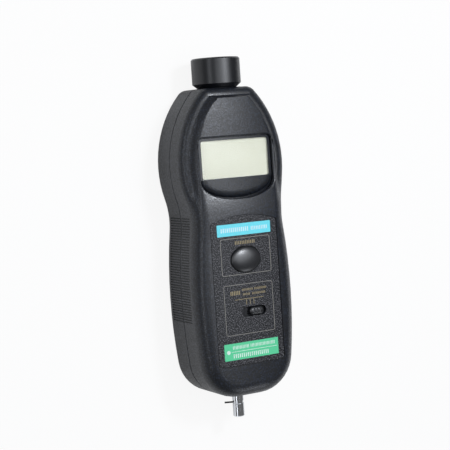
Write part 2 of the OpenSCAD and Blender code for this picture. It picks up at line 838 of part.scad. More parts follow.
// The cushion under the display rolls down into the opening all along its curved edge
function cushion_half(d) =
  concat([[opening_w / 2 - d, cushion_top]],
    [for (i = [0 : 14]) let (a = -i * 6)
      [(opening_w / 2 - d) * cos(a), smile_y + (smile_y - opening_bottom - d) * sin(a)]]);
module display_bezel() {
  flange_z = ceiling_head - fit;
  roll_h = cushion_z - flange_z + embed;
  roll = [for (a = [0 : 15 : 90]) [slide + cushion_roll * (1 - cos(a)), cushion_z - roll_h * (1 - sin(a))]];
  color([0.1, 0.1, 0.11]) difference() {
    union() {
      layer(bezel_back, flange_z) display_outline(-lip_w);
      layer(flange_z - embed, window_z) intersection() {
        display_outline(slide);
        square_between([-opening_w, opening_w], [cushion_top - embed, opening_top]);
      }
      loft([for (e = roll) flat_ring(both_sides(cushion_half(e[0])), e[1])]);
    }
    layer(bezel_back - over, window_z + over)
      rounded_rect([-view_w / 2, view_w / 2], [view_bottom, view_top], view_corner);
  }
}

module lcd_window() {
  color([0.8, 0.85, 0.8, 0.4]) layer(bezel_back, window_z)
    rounded_rect([fit - view_w / 2, view_w / 2 - fit], [view_bottom + fit, view_top - fit], view_corner - fit);
}

module lcd_panel() {
  color([0.72, 0.75, 0.68]) layer(lcd_z0, bezel_back)
    lcd_outline(0);
}

module zebra_strips() {
  color([0.35, 0.35, 0.4]) for (y = [view_bottom - lcd_end + zebra_edge,
      view_top + lcd_end - zebra_edge - zebra_w])
    block([-view_w / 2, view_w / 2], [y, y + zebra_w], [board_top, lcd_z0]);
}

module panel_overlay() {
  color([0.2, 0.2, 0.21]) layer(panel_floor, panel_face) difference() {
    panel_outline(fit);
    memory_outline(-slide);
    slot_outline(0);
  }
}

module field(size, y) {
  layer(panel_face, panel_face + field_t)
    rounded_rect([-size.x / 2, size.x / 2], [y - size.y / 2, y + size.y / 2], field_corner);
}
module blue_field() {
  color([0.1, 0.55, 0.8]) field(blue_size, blue_y);
}
module green_field() {
  color([0.1, 0.6, 0.4]) field(green_size, green_y);
}

module memory_button() {
  // Straight skirt through the panel, then a dome that flattens towards its middle
  dome = [for (a = [0 : 11.25 : 78.75]) [memory_w / 2 * (1 - cos(a)), panel_face + memory_dome * sin(a)]];
  shrink = memory_h / memory_w;
  function ring(d) = ellipse(memory_w / 2 - d, memory_h / 2 - d * shrink, [0, memory_y]);
  color([0.12, 0.12, 0.13]) {
    loft(concat(
      [flat_ring(ring(0), memory_flange_z0)],
      [for (e = dome) flat_ring(ring(e[0]), e[1])]
    ));
    layer(memory_flange_z0, memory_flange_z1) memory_outline(-lip_w);
  }
}
module memory_plunger() {
  color([0.15, 0.15, 0.15])
    zcyl(plunger_d / 2, memory_switch_z1 - plunger_sunk, memory_flange_z0 - fit / 2, [0, memory_y]);
}
module memory_switch() {
  half = switch_side / 2;
  color([0.3, 0.3, 0.32]) difference() {
    block([-half, half], [memory_y - half, memory_y + half], [board_top, memory_switch_z1]);
    zcyl(plunger_d / 2 + fit, memory_switch_z1 - plunger_bore, memory_switch_z1 + over, [0, memory_y]);
  }
}

module mode_knob() {
  knob_z = panel_face + knob_proud;
  socket = lever_w / 2 + fit;
  color([0.08, 0.08, 0.09]) difference() {
    union() {
      layer(knob_flange_z0, knob_z) obround(knob_w, knob_h, [knob_x, slot_at.y]);
      layer(knob_flange_z0, knob_flange_z1)
        rounded_rect([knob_x - knob_plate_half, knob_x + knob_plate_half],
          [slot_at.y - slot_h / 2 - lip_w, slot_at.y + slot_h / 2 + lip_w], knob_plate_corner);
    }
    // Thumb notches across the knob, and the socket for the lever
    for (i = [-1 : 1]) translate([knob_x + i * notch_pitch, slot_at.y, knob_z]) rotate([90, 0, 0])
      cylinder(h = slot_h, r = notch_r, center = true);
    block([knob_x - socket, knob_x + socket], [slot_at.y - socket, slot_at.y + socket],
      [knob_flange_z0 - over, knob_flange_z1]);
  }
}
module mode_lever() {
  color([0.85, 0.85, 0.8])
    block([knob_x - lever_w / 2, knob_x + lever_w / 2], [slot_at.y - lever_w / 2, slot_at.y + lever_w / 2],
      [mode_switch_z1 + fit, knob_flange_z1 - fit]);
}
module mode_switch() {
  color("silver")
    translate([0, 0, board_top]) linear_extrude(mode_switch_z1 - board_top)
      translate(slot_at) square(mode_switch_size, center = true);
}

module measure_button() {
  // Its face follows the hollow of the waist, so that it stands out evenly
  color([0.12, 0.12, 0.13]) {
    difference() {
      measure_outline(0);
      block([0, measure_flange_x0], [-body_t, body_t], [0, body_t]);
      zcyl(waist_r - measure_proud, 0, body_t, waist_c);
    }
    intersection() {
      measure_outline(-lip_w);
      block([measure_flange_x0, measure_flange_x1], [-body_t, body_t], [0, body_t]);
    }
  }
}
module measure_plunger() {
  color([0.15, 0.15, 0.15])
    xcyl(plunger_d / 2, board_half - plunger_sunk, measure_flange_x0 - fit / 2, measure_y, measure_z);
}
module measure_switch() {
  half = switch_side / 2;
  color([0.3, 0.3, 0.32]) difference() {
    block([board_half - switch_t, board_half], [measure_y - half, measure_y + half],
      [measure_z - half, board_bottom]);
    xcyl(plunger_d / 2 + fit, board_half - plunger_bore, board_half + over, measure_y, measure_z);
  }
}

module main_board() {
  color([0.1, 0.4, 0.2]) layer(board_bottom, board_top) difference() {
    union() {
      rounded_rect([-board_half, board_half], [board_low, board_high], board_corner);
      rounded_rect([-view_w / 2 - board_side, view_w / 2 + board_side],
        [view_bottom - board_wide_from, board_high], board_corner);
    }
    right_and_left() for (at = post_at) translate(at) circle(board_screw_d / 2 + fit);
  }
}
module board_screws() {
  color("silver") right_and_left() for (at = post_at) {
    zcyl(board_head_d / 2, board_bottom - board_head_t, board_bottom, at);
    zcyl(board_screw_d / 2, board_bottom - embed, board_top + board_screw_grip, at);
  }
}
module controller_chip() {
  color([0.1, 0.1, 0.1]) layer(board_bottom - chip_t, board_bottom)
    translate(chip_at) square(chip_side, center = true);
}
module quartz_crystal() {
  color("silver") layer(board_bottom - crystal.z, board_bottom) obround(crystal.x, crystal.y, crystal_at);
}

// Flexible strip along a path of [y, z] points, t thick towards the path's left
function left_of(v) = [-v.y, v.x] / norm(v);
function beside(p, t) =
  [for (i = [0 : len(p) - 1])
    let (
      before = left_of(p[max(i, 1)] - p[max(i, 1) - 1]),
      after = left_of(p[min(i, len(p) - 2) + 1] - p[min(i, len(p) - 2)])
    )
    p[i] + t * (before + after) / (1 + before * after)];
module ribbon(path, t) {
  edge = beside(path, t);
  color([0.7, 0.4, 0.1]) translate([-ribbon_w / 2, 0, 0]) rotate([90, 0, 90]) linear_extrude(ribbon_w)
    polygon(concat(path, [for (i = [len(edge) - 1 : -1 : 0]) edge[i]]));
}
module sensor_ribbon() {
  ribbon([
    [sensor_y, axis_z + sensor_strip_off], [tube_end - sensor_strip_bend, axis_z + sensor_strip_off],
    [board_high - sensor_strip_edge, board_bottom - ribbon_t],
    [board_high - sensor_strip_edge - sensor_strip_lap, board_bottom - ribbon_t]
  ], -ribbon_t);
}
module encoder_ribbon() {
  edge_y = encoder_y + encoder_h / 2;
  bend_y = edge_y + encoder_strip_bend;
  low_y = bend_y + encoder_strip_fall;
  ribbon([
    [edge_y - encoder_strip_lap, encoder_z + encoder_t], [bend_y, encoder_z + encoder_t],
    [low_y, board_top], [low_y + encoder_strip_hold, board_top]
  ], ribbon_t);
}

module nose_barrel() {
  neck_r = neck_d / 2;
  nose_r = nose_d / 2;
  color([0.1, 0.1, 0.1]) difference() {
    turned([
      [tube_bore_d / 2, tube_end], [neck_r, tube_end],
      [neck_r, housing_top - wall - fit], [groove_d / 2, housing_top - wall - fit],
      [groove_d / 2, housing_top + fit], [neck_r, housing_top + fit],
      [nose_r, housing_top + nose_cone], [nose_r, nose_tip - nose_edge], [nose_r - nose_edge, nose_tip],
      [cup_d / 2, nose_tip], [cup_d / 2, cup_floor], [tube_bore_d / 2, cup_floor]
    ]);
    ycyl(neck_r - tube_wall, tube_end - over, sensor_y + board_t);
  }
}
module nose_window() {
  color([0.5, 0.05, 0.05, 0.5]) ycyl(cup_d / 2 - fit / 2, window_y - window_t, window_y);
}
module optics_plate() {
  color([0.06, 0.06, 0.06]) difference() {
    ycyl(cup_d / 2 - fit / 2, cup_floor, optics_y);
    ycyl(lens_d / 2 + fit / 2, cup_floor - over, optics_y + over, z = axis_z + lens_off);
    ycyl(laser_d / 2 + fit / 2, cup_floor - over, optics_y + over, z = axis_z - laser_off);
  }
}
module receiver_lens() {
  r = lens_d / 2;
  ball = (r * r + lens_crown * lens_crown) / (2 * lens_crown);
  crown_y = optics_y - optics_in;
  back_y = crown_y - lens_crown - lens_edge;
  color([0.8, 0.9, 1, 0.5])
    turned(concat(
      [[0, back_y], [r, back_y]],
      [for (i = [6 : -1 : 0]) let (a = asin(r / ball) * i / 6)
        [i == 0 ? 0 : ball * sin(a), crown_y - ball * (1 - cos(a))]]
    ), axis_z + lens_off);
}
module laser_module() {
  y1 = optics_y - optics_in;
  y0 = y1 - laser_len;
  r = laser_d / 2;
  color([0.78, 0.6, 0.25])
    turned([
      [0, y0], [r - laser_step, y0], [r - laser_step, y0 + laser_tail], [r, y0 + laser_tail],
      [r, y1], [aperture.x, y1], [aperture.x, y1 - aperture.y], [0, y1 - aperture.y]
    ], axis_z - laser_off);
}
module sensor_board() {
  color([0.1, 0.4, 0.2]) ycyl(neck_d / 2 - tube_wall - fit / 2, sensor_y, sensor_y + board_t);
}
module photodiode() {
  y = sensor_y + board_t;
  color([0.2, 0.2, 0.25])
    turned([
      [0, y], [diode_flange.x, y], [diode_flange.x, y + diode_flange.y], [diode_can.x, y + diode_flange.y],
      [diode_can.x, y + diode_can.y], [diode_dome.x, y + diode_dome.y], [0, y + diode_len]
    ], axis_z + lens_off);
}

module bearing_block() {
  r = bearing_d / 2;
  bush_r = bush_d / 2 + fit / 2;
  color([0.2, 0.2, 0.22])
    turned([
      [bush_r, bearing_y0], [r + bearing_flange, bearing_y0], [r + bearing_flange, bearing_y0 + bearing_collar],
      [r, bearing_y0 + bearing_collar], [r, bearing_y1], [bush_r, bearing_y1],
      [bush_r, bearing_y1 - bush_len], [bush_r - bush_stop, bearing_y1 - bush_len],
      [bush_r - bush_stop, bearing_y0 + bush_len], [bush_r, bearing_y0 + bush_len]
    ]);
}
module bush(y0) {
  color([0.72, 0.5, 0.25]) difference() {
    ycyl(bush_d / 2, y0, y0 + bush_len);
    ycyl(journal_d / 2 + running, y0 - over, y0 + bush_len + over);
  }
}
module outer_bush() {
  bush(bearing_y0);
}
module inner_bush() {
  bush(bearing_y1 - bush_len);
}

module contact_shaft() {
  r = shaft_d / 2;
  j = journal_d / 2;
  chamfer = 0.5;
  color([0.8, 0.8, 0.82]) difference() {
    turned([
      [0, -shaft_tip], [r - chamfer, -shaft_tip], [r, chamfer - shaft_tip],
      [r, pin_y - relief_half], [r - relief_depth, pin_y - relief_half],
      [r - relief_depth, pin_y + relief_half], [r, pin_y + relief_half],
      [r, shoulder_y], [j, shoulder_y],
      [j, ring_y0 - fit / 2], [j - ring_groove, ring_y0 - fit / 2],
      [j - ring_groove, ring_y0 + ring_t + fit / 2], [j, ring_y0 + ring_t + fit / 2],
      [j, shaft_end], [0, shaft_end]
    ]);
    pin_bore(pin_d / 2 + fit / 4);
  }
}
module pin_bore(bore_r) {
  translate([0, pin_y, axis_z]) rotate([0, -pin_turn, 0]) xcyl(bore_r, -shaft_d, shaft_d, 0, 0);
}
module drive_pin() {
  color([0.25, 0.25, 0.26]) translate([0, pin_y, axis_z]) rotate([0, -pin_turn, 0])
    xcyl(pin_d / 2, -shaft_d / 2 - pin_out, shaft_d / 2 - pin_seat, 0, 0);
}
module retaining_ring() {
  color([0.3, 0.3, 0.3]) difference() {
    ycyl(journal_d / 2 + ring_out, ring_y0, ring_y0 + ring_t);
    ycyl(journal_d / 2 - ring_groove + ring_play, ring_y0 - over, ring_y0 + ring_t + over);
    block([-ring_mouth / 2, ring_mouth / 2], [ring_y0 - over, ring_y0 + ring_t + over],
      [axis_z, axis_z + journal_d]);
  }
}
module disc_hub() {
  bore_r = journal_d / 2 + fit / 5;
  color([0.7, 0.7, 0.72])
    turned([
      [bore_r, hub_y0], [bore_r + hub_wall, hub_y0], [bore_r + hub_wall, disc_y],
      [bore_r + hub_spigot, disc_y], [bore_r + hub_spigot, hub_y0 + hub_len], [bore_r, hub_y0 + hub_len]
    ]);
}
module encoder_disc() {
  color([0.15, 0.15, 0.16]) difference() {
    ycyl(disc_d / 2, disc_y, disc_y + disc_t);
    ycyl(journal_d / 2 + fit / 5 + hub_spigot + fit / 5, disc_y - over, disc_y + disc_t + over);
    for (i = [0 : disc_slots - 1]) translate([0, 0, axis_z]) rotate([0, i * 360 / disc_slots, 0])
      block([disc_d / 2 - disc_rim - disc_slot.x, disc_d / 2 - disc_rim],
        [disc_y - over, disc_y + disc_t + over], [-disc_slot.y / 2, disc_slot.y / 2]);
  }
}
module encoder_board() {
  color([0.1, 0.4, 0.2])
    block([-encoder_w / 2, encoder_w / 2], [encoder_y - encoder_h / 2, encoder_y + encoder_h / 2],
      [encoder_z, encoder_z + encoder_t]);
}
module photo_interrupter() {
  slot_z = axis_z + disc_d / 2 + disc_clear;
  low = encoder_z - interrupter.z;
  half = interrupter / 2;
  color([0.12, 0.12, 0.13]) difference() {
    block([-half.x, half.x], [encoder_y - half.y, encoder_y + half.y], [low, encoder_z]);
    block([-half.x - over, half.x + over],
      [encoder_y - interrupter_gap / 2, encoder_y + interrupter_gap / 2], [low - over, slot_z]);
  }
}

// The middle cell lies the other way round from its neighbours
function cell_x(i) = (i - (cell_count - 1) / 2) * cell_pitch;
function cell_up(i) = i % 2 == 0;
cell_y1 = box_in_top - contact_t - fit;
cell_y0 = box_in_bottom + contact_t + fit;
module cell(i) {
  r = cell_d / 2;
  color([0.75, 0.76, 0.78])
    translate([cell_x(i), cell_up(i) ? cell_y1 : cell_y0, cell_z]) mirror([0, cell_up(i) ? 0 : 1, 0])
      rotate([-90, 0, 0]) rotate_extrude() polygon([
        [0, -cell_len], [r - cell_edge, -cell_len], [r, cell_edge - cell_len], [r, -cell_button - cell_edge],
        [r - cell_edge, -cell_button], [cell_button_r, -cell_button], [cell_button_r, 0], [0, 0]
      ]);
}
module cell_1() {
  cell(0);
}
module cell_2() {
  cell(1);
}
module cell_3() {
  cell(2);
}

// Conical coil about a line along Y, from its wide end at y = 0
module coil(length, r0, r1, wire, turns) {
  steps = turns * 12;
  sides = 6;
  pts = [for (i = [0 : steps], k = [0 : sides - 1])
    let (a = i * 30, b = k * 360 / sides, ring = lerp(r0, r1, i / steps) + wire * cos(b))
    [ring * cos(a), wire + (length - 2 * wire) * i / steps + wire * sin(b), ring * sin(a)]];
  skin = [for (i = [0 : steps - 1], k = [0 : sides - 1])
    let (a = i * sides + k, b = i * sides + (k + 1) % sides)
    each [[a, a + sides, b + sides], [a, b + sides, b]]];
  ends = [[for (k = [0 : sides - 1]) k], [for (k = [sides - 1 : -1 : 0]) steps * sides + k]];
  polyhedron(pts, concat(skin, ends));
}
module contact_springs() {
  color("silver") for (i = [0 : cell_count - 1])
    translate([cell_x(i), cell_up(i) ? box_in_bottom + contact_t : box_in_top - contact_t, cell_z])
      mirror([0, cell_up(i) ? 0 : 1, 0])
        coil(spring_room + fit, spring_wide, spring_narrow, spring_wire, spring_turns);
}
// Plates at the ends of the cells: each link joins two neighbours, and each terminal has a tag
// that runs up through the battery box into the main board
function plate_y(upper) =
  upper ? [box_in_top - contact_t, box_in_top] : [box_in_bottom, box_in_bottom + contact_t];
module plate(first, last, upper) {
  block([cell_x(first) - plate_half, cell_x(last) + plate_half], plate_y(upper),
    [cell_z - plate_half, cell_z + plate_half]);
}
module terminal_tags(d) {
  for (i = [0, cell_count - 1]) let (y = plate_y(i == 0))
    block([cell_x(i) - tag_half - d, cell_x(i) + tag_half + d], [y[0] - d, y[1] + d],
      [cell_z + plate_half - embed, board_bottom]);
}
module contact_plates() {
  color("silver") {
    plate(0, 0, true);
    plate(cell_count - 1, cell_count - 1, false);
    for (i = [0 : cell_count - 2]) plate(i, i + 1, !cell_up(i));
    terminal_tags(0);
  }
}

front_shell();
rear_shell();
battery_door();
housing_screws();
display_bezel();
lcd_window();
lcd_panel();
zebra_strips();
panel_overlay();
blue_field();
green_field();
memory_button();
memory_plunger();
memory_switch();
mode_knob();
mode_lever();
mode_switch();
measure_button();
measure_plunger();
measure_switch();
main_board();
board_screws();
controller_chip();
quartz_crystal();
sensor_ribbon();
encoder_ribbon();
nose_barrel();
nose_window();
optics_plate();
receiver_lens();
laser_module();
sensor_board();
photodiode();
bearing_block();
outer_bush();
inner_bush();
contact_shaft();
drive_pin();
retaining_ring();
disc_hub();
encoder_disc();
encoder_board();
photo_interrupter();
cell_1();
cell_2();
cell_3();
contact_springs();
contact_plates();
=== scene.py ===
# Looks of a handheld laser tachometer that lies on its back, display up.
# Every size is in metres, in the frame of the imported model: +Y is towards the nose, +Z out of the display.

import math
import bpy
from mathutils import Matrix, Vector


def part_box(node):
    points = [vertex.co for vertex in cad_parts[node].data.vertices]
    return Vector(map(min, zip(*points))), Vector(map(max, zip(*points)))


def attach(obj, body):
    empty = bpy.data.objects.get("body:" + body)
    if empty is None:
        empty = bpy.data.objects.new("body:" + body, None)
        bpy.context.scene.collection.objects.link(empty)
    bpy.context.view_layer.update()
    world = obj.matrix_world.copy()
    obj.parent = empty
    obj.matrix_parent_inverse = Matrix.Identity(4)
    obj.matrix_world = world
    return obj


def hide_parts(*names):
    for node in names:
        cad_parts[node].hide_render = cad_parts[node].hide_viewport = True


bl_info = {
    "name": "Laser tachometer looks",
    "version": (1, 0, 0),
    "blender": (4, 5, 0),
    "location": "View3D > Sidebar > Tachometer",
    "description": "Dresses the packed tachometer: shells, printed panel, keys, metal parts and studio",
    "category": "Object",
}

import bmesh
import bpy
from bpy.props import FloatProperty, FloatVectorProperty, PointerProperty
from mathutils import Matrix, Vector

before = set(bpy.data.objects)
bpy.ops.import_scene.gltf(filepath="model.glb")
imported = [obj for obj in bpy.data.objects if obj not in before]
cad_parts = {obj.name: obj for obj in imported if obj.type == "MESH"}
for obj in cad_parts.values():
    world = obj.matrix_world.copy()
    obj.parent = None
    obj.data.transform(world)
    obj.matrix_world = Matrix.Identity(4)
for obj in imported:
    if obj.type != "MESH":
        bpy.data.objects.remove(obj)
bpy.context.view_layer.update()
MM = 0.001

# Places that differ by less than this count as one
TOUCH = 0.01 * MM
# Corners of a CAD node's loose triangles that lie closer than this are merged
MERGE = 0.002 * MM
# Faces that meet at less than this angle shade as one curve
CURVE_ANGLE = math.radians(35)
# Faces that meet at more than this angle have a rim between them
RIM_ANGLE = math.radians(50)

# Sockets of a Mix node that mixes colours: its share, its two colours and their mix
MIX_SHARE = 0
MIX_A = 6
MIX_B = 7
MIXED = 2

BLACK = (0, 0, 0, 1)
WHITE = (1, 1, 1, 1)


def linear(code):
    """The linear colour of an sRGB hex code such as #1a2b3c."""
    parts = [int(code[i:i + 2], 16) / 255 for i in (1, 3, 5)]
    return tuple(p / 12.92 if p <= 0.04045 else ((p + 0.055) / 1.055) ** 2.4 for p in parts)


def length(name, description, millimetres):
    """A length whose default is given in millimetres."""
    return FloatProperty(
        name=name, description=description, default=millimetres * MM, min=0, precision=5, unit="LENGTH"
    )


def colour(name, description, code):
    """A colour whose default is given as an sRGB hex code."""
    return FloatVectorProperty(
        name=name, description=description, default=linear(code), min=0, max=1, subtype="COLOR"
    )


def power(name, description, watts):
    """The power of a lamp."""
    return FloatProperty(name=name, description=description, default=watts, min=0, unit="POWER")


def share(name, description, part):
    """A share from 0 to 1."""
    return FloatProperty(name=name, description=description, default=part, min=0, max=1, subtype="FACTOR")


def angle(name, description, degrees):
    """An angle whose default is given in degrees."""
    return FloatProperty(name=name, description=description, default=math.radians(degrees), subtype="ANGLE")


class TachoSizes(bpy.types.PropertyGroup):
    rim_round: length("Opening rim", "Round on the rim of the display opening", 1)
    button_round: length("Button rim", "Round on the rim of the measure button", 0.6)
    lip_w: length("Lip", "Width of the lip that keeps a button in its hole", 1.3)
    lip_t: length("Lip thickness", "Thickness of that lip", 1.1)
    knob_w: length("Knob length", "Length of the mode knob's raised bar", 9.6)
    knob_h: length("Knob width", "Width of the mode knob's raised bar", 4.9)
    knob_round: length("Knob round", "Round on the top of the mode knob", 2)
    plate_round: length("Plate rim", "Round on the rim of the mode knob's plate", 0.2)
    notch_r: length("Knob notch", "Radius of the thumb notches across the mode knob", 0.5)
    notch_pitch: length("Notch pitch", "Distance from notch to notch", 2)
    line_w: length("Printed line", "Width of the printed frame lines", 0.24)
    line_corner: length("Frame corner", "Corner radius of the printed frames", 1.2)
    ink_t: length("Ink", "Height of printed marks above the sheet", 0.05)
    ink_sunk: length("Ink base", "How far printed marks reach into the sheet", 0.03)
    shell_grain: length("Shell grain", "Size of the grain on the moulded shells", 0.8)
    sheet_grain: length("Sheet grain", "Size of the grain on the front sheet", 0.6)
    # Painted shade: grooves about this narrow are painted darker than the open shell, and are duller
    groove: length("Groove", "Grooves about this narrow stay darker than the open shell", 0.8)
    crown: length("Crown", "Radius of the slight crown across the front", 150)
    sheet_gap: length("Sheet gap", "Dark gap between the front sheet and the edge of its bed", 0.3)
    pane_gap: length("Pane gap", "Air between the display and its window", 0.08)
    pane_round: length("Pane rim", "Round on the rim of the display window", 0.25)
    pane_corner: length("Pane corner", "Corner radius of the display window", 1.3)
    dot_d: length("Dot", "Diameter of the white dot on the green field", 2.2)


class TachoColours(bpy.types.PropertyGroup):
    shell: colour("Shell", "Black plastic of the housing", "#12151b")
    bezel: colour("Bezel", "Black plastic round the display", "#101318")
    gloss: colour("Gloss parts", "Black plastic of nose, button and knob", "#0b0d11")
    # The sheet is black in the hollows of its grain; the pale colour on its tops is a painted glint
    sheet_dark: colour("Sheet, low", "Front sheet in the hollows of its grain", "#0d0e11")
    sheet_painted_glint: colour("Sheet, high", "Front sheet on the tops of its grain", "#656569")
    display: colour("Display", "Blank display behind its window", "#c6c4ae")
    blue: colour("Blue field", "Printed field above the memory button", "#64d6e4")
    green: colour("Green field", "Printed field at the bottom of the sheet", "#58cd96")
    grey_ink: colour("Grey ink", "Frames on the sheet", "#a5a29a")
    tan_ink: colour("Tan ink", "Ticks and strokes on the sheet", "#a0916c")
    pale_ink: colour("Pale ink", "Marks on the blue field", "#e2f9ff")
    white_ink: colour("White ink", "Marks on the green field", "#e8fff4")


class TachoStudio(bpy.types.PropertyGroup):
    floor: colour("Floor", "Paper that the instrument lies on", "#dedede")
    floor_seen: share("Floor white", "Share of plain white in the paper as the camera sees it", 0.9)
    floor_mirrored: share("Mirrored white", "The same share as gloss and glass show it", 0.35)
    lamp: colour("Lamps", "Slightly cool white of the lamps", "#f4f8ff")
    sky: share("Sky", "Strength of the even light all round", 0.15)
    key: power("Key", "Power of the large lamp overhead", 1.6)
    top: power("Top", "Power of the small lamp over the nose", 2.6)
    left: power("Left", "Power of the lamp above the left", 0.6)
    foot: power("Foot", "Power of the lamp beyond the foot", 0.6)
    side: power("Side", "Power of the strip lamp at the left", 0.85)
    lens: FloatProperty(name="Lens", description="Focal length", default=105.87, min=20, unit="CAMERA")
    distance: length("Distance", "From the camera to the middle of the view", 755.7)
    yaw: angle("Yaw", "Turn of the camera to the left", 28.94)
    pitch: angle("Pitch", "Turn of the camera towards the nose", 4.34)
    roll: angle("Roll", "Lean of the instrument in the view", 3.89)


def add(tree, kind, sockets, **settings):
    """Adds a node with its settings, and gives each named socket a value or a link."""
    node = tree.nodes.new("ShaderNode" + kind)
    for key, value in settings.items():
        setattr(node, key, value)
    for key, value in sockets.items():
        if isinstance(value, bpy.types.NodeSocket):
            tree.links.new(value, node.inputs[key])
        else:
            node.inputs[key].default_value = value
    return node


def rgba(tint, level=1):
    """The tint at a level of brightness, as a colour socket takes it."""
    return (*(part * level for part in tint), 1)


def per_metre(millimetres):
    """Texture scale whose pattern repeats about once in that many millimetres."""
    return 1 / (millimetres * MM)


def bands_per_metre(millimetres):
    """Scale of a wave texture, with twenty radians to its unit, for bands that many millimetres apart."""
    return per_metre(millimetres) * math.tau / 20


def start(name):
    """A new material's empty tree and its object coordinates."""
    made = bpy.data.materials.new(name)
    made.use_nodes = True
    tree = made.node_tree
    tree.nodes.clear()
    place = add(tree, "TexCoord", {}).outputs["Object"]
    return made, tree, place


def close(tree, shader):
    """Leads a shader to the output of its tree."""
    add(tree, "OutputMaterial", {"Surface": shader.outputs[0]})


def crowned(tree, place, radius):
    """Turns the normals of a front face as if it were slightly crowned, as moulded fronts are."""
    across = add(tree, "SeparateXYZ", {"Vector": place}).outputs["X"]
    square = add(tree, "Math", {0: across, 1: across}, operation="MULTIPLY")
    drop = add(tree, "Math", {0: square.outputs[0], 1: -0.5 / radius}, operation="MULTIPLY")
    return add(tree, "Bump", {"Height": drop.outputs[0], "Strength": 1, "Distance": 1}).outputs[0]


def dulled_in_grooves(tree, shade, gloss, reach):
    """Paints shade into the colour where walls stand close by, as in grooves, and dulls the gloss there, as
    in grooves that no hand polishes.
    """
    room = add(tree, "AmbientOcclusion", {"Distance": reach}, samples=8, only_local=True).outputs["AO"]
    open_air = add(tree, "MapRange", {"Value": room, "From Min": 0.3, "From Max": 0.85}).outputs[0]
    # Painted shade: the colour goes towards black where the walls close in
    dark = add(tree, "Mix", {MIX_SHARE: open_air, MIX_A: BLACK, MIX_B: shade}, data_type="RGBA")
    dull = add(tree, "MapRange", {"Value": open_air, "To Min": 0.9, "To Max": gloss})
    return dark.outputs[MIXED], dull.outputs[0]


def moulded_abs(name, tint, grain, relief, rough, spread, crown=0, coat=0, groove=0):
    """Injection-moulded ABS: a spark-eroded mould leaves a fine grain whose tops glint in its soft gloss, and
    are painted paler as glints too.

    The real grain is about 0.1 mm. It is drawn coarser, so that it shows. Its spread is how far the hollows
    and tops go from the mean: the tops are painted paler, as glints, and the hollows darker, as shade. The
    tops are a little smoother too.
    """
    made, tree, place = start(name)
    lumps = add(tree, "TexNoise", {"Vector": place, "Scale": 1 / grain, "Detail": 1, "Roughness": 0.5})
    fine = lumps.outputs[0]
    tops = add(tree, "MapRange", {"Value": fine, "From Min": 0.45, "From Max": 0.7})
    # Painted glints and shade: grain tops paler and hollows darker than the plastic's own tint
    shade = add(tree, "Mix", {
        MIX_SHARE: tops.outputs[0], MIX_A: rgba(tint, 1 - spread), MIX_B: rgba(tint, 1 + 4 * spread),
    }, data_type="RGBA").outputs[MIXED]
    gloss = add(tree, "MapRange", {
        "Value": fine, "From Min": 0.35, "From Max": 0.65,
        "To Min": rough + 0.1 * spread, "To Max": rough - 0.2 * spread,
    }).outputs[0]
    # Painted shade in narrow grooves, with a duller gloss there
    if groove:
        shade, gloss = dulled_in_grooves(tree, shade, gloss, groove)
    bump = add(tree, "Bump", {"Height": fine, "Strength": 1, "Distance": relief})
    if crown:
        tree.links.new(crowned(tree, place, crown), bump.inputs["Normal"])
    shader = add(tree, "BsdfPrincipled", {
        "Base Color": shade, "Roughness": gloss, "Normal": bump.outputs[0], "IOR": 1.54,
        "Coat Weight": coat, "Coat Roughness": 0.3,
    })
    close(tree, shader)
    return made


def embossed_sheet(name, low, high, grain, crown):
    """Polycarbonate sheet with a coarse embossed grain: its tops are painted pale as glints, its hollows stay
    dark.

    The real grain is about 0.3 mm. It is drawn coarser, so that it shows.
    """
    made, tree, place = start(name)
    lumps = add(tree, "TexNoise", {"Vector": place, "Scale": 1 / grain, "Detail": 1, "Roughness": 0.5})
    tops = add(tree, "MapRange", {"Value": lumps.outputs[0], "From Min": 0.5, "From Max": 0.68}).outputs[0]
    # Painted glints: the high colour on the tops of the grain, the sheet's own black in its hollows
    shade = add(tree, "Mix", {MIX_SHARE: tops, MIX_A: rgba(low), MIX_B: rgba(high)}, data_type="RGBA")
    bump = add(tree, "Bump", {
        "Height": tops, "Strength": 1, "Distance": 0.06 * MM, "Normal": crowned(tree, place, crown),
    })
    shader = add(tree, "BsdfPrincipled", {
        "Base Color": shade.outputs[MIXED], "Roughness": 0.5, "Normal": bump.outputs[0], "IOR": 1.58,
        "Specular IOR Level": 0.25,
    })
    close(tree, shader)
    return made


def printed_film(name, tint, wear=0.12, rough=0.4):
    """Screen ink on film or sheet: an even colour with a faint mottle where the ink lies thinner."""
    made, tree, place = start(name)
    mottle = add(tree, "TexNoise", {"Vector": place, "Scale": per_metre(0.9), "Detail": 3}).outputs[0]
    shade = add(tree, "Mix", {
        MIX_SHARE: mottle, MIX_A: rgba(tint, 1 - 2 * wear), MIX_B: rgba(tint),
    }, data_type="RGBA")
    bump = add(tree, "Bump", {"Height": mottle, "Strength": 0.4, "Distance": 0.01 * MM})
    shader = add(tree, "BsdfPrincipled", {
        "Base Color": shade.outputs[MIXED], "Roughness": rough, "Normal": bump.outputs[0],
    })
    close(tree, shader)
    return made


def clear_acrylic(name, tint, rough=0.03):
    """Polished acrylic: clear or dyed right through, with hairline marks that show only in its gloss."""
    made, tree, place = start(name)
    stretch = add(tree, "Mapping", {"Vector": place, "Scale": (1, 6, 1)})
    hairs = add(tree, "TexNoise", {"Vector": stretch.outputs[0], "Scale": per_metre(4), "Detail": 4})
    gloss = add(tree, "MapRange", {"Value": hairs.outputs[0], "To Min": rough, "To Max": rough * 1.4})
    shader = add(tree, "BsdfPrincipled", {
        "Base Color": rgba(tint), "Roughness": gloss.outputs[0], "IOR": 1.49, "Specular IOR Level": 0.25,
        "Transmission Weight": 1,
    })
    # Lamps shine straight through, so that what lies behind is lit, and lit only once
    rays = add(tree, "LightPath", {})
    lit = add(tree, "Math", {
        0: rays.outputs["Is Shadow Ray"], 1: rays.outputs["Is Diffuse Ray"],
    }, operation="MAXIMUM")
    through = add(tree, "BsdfTransparent", {"Color": rgba(tint)})
    close(tree, add(tree, "MixShader", {0: lit.outputs[0], 1: shader.outputs[0], 2: through.outputs[0]}))
    return made


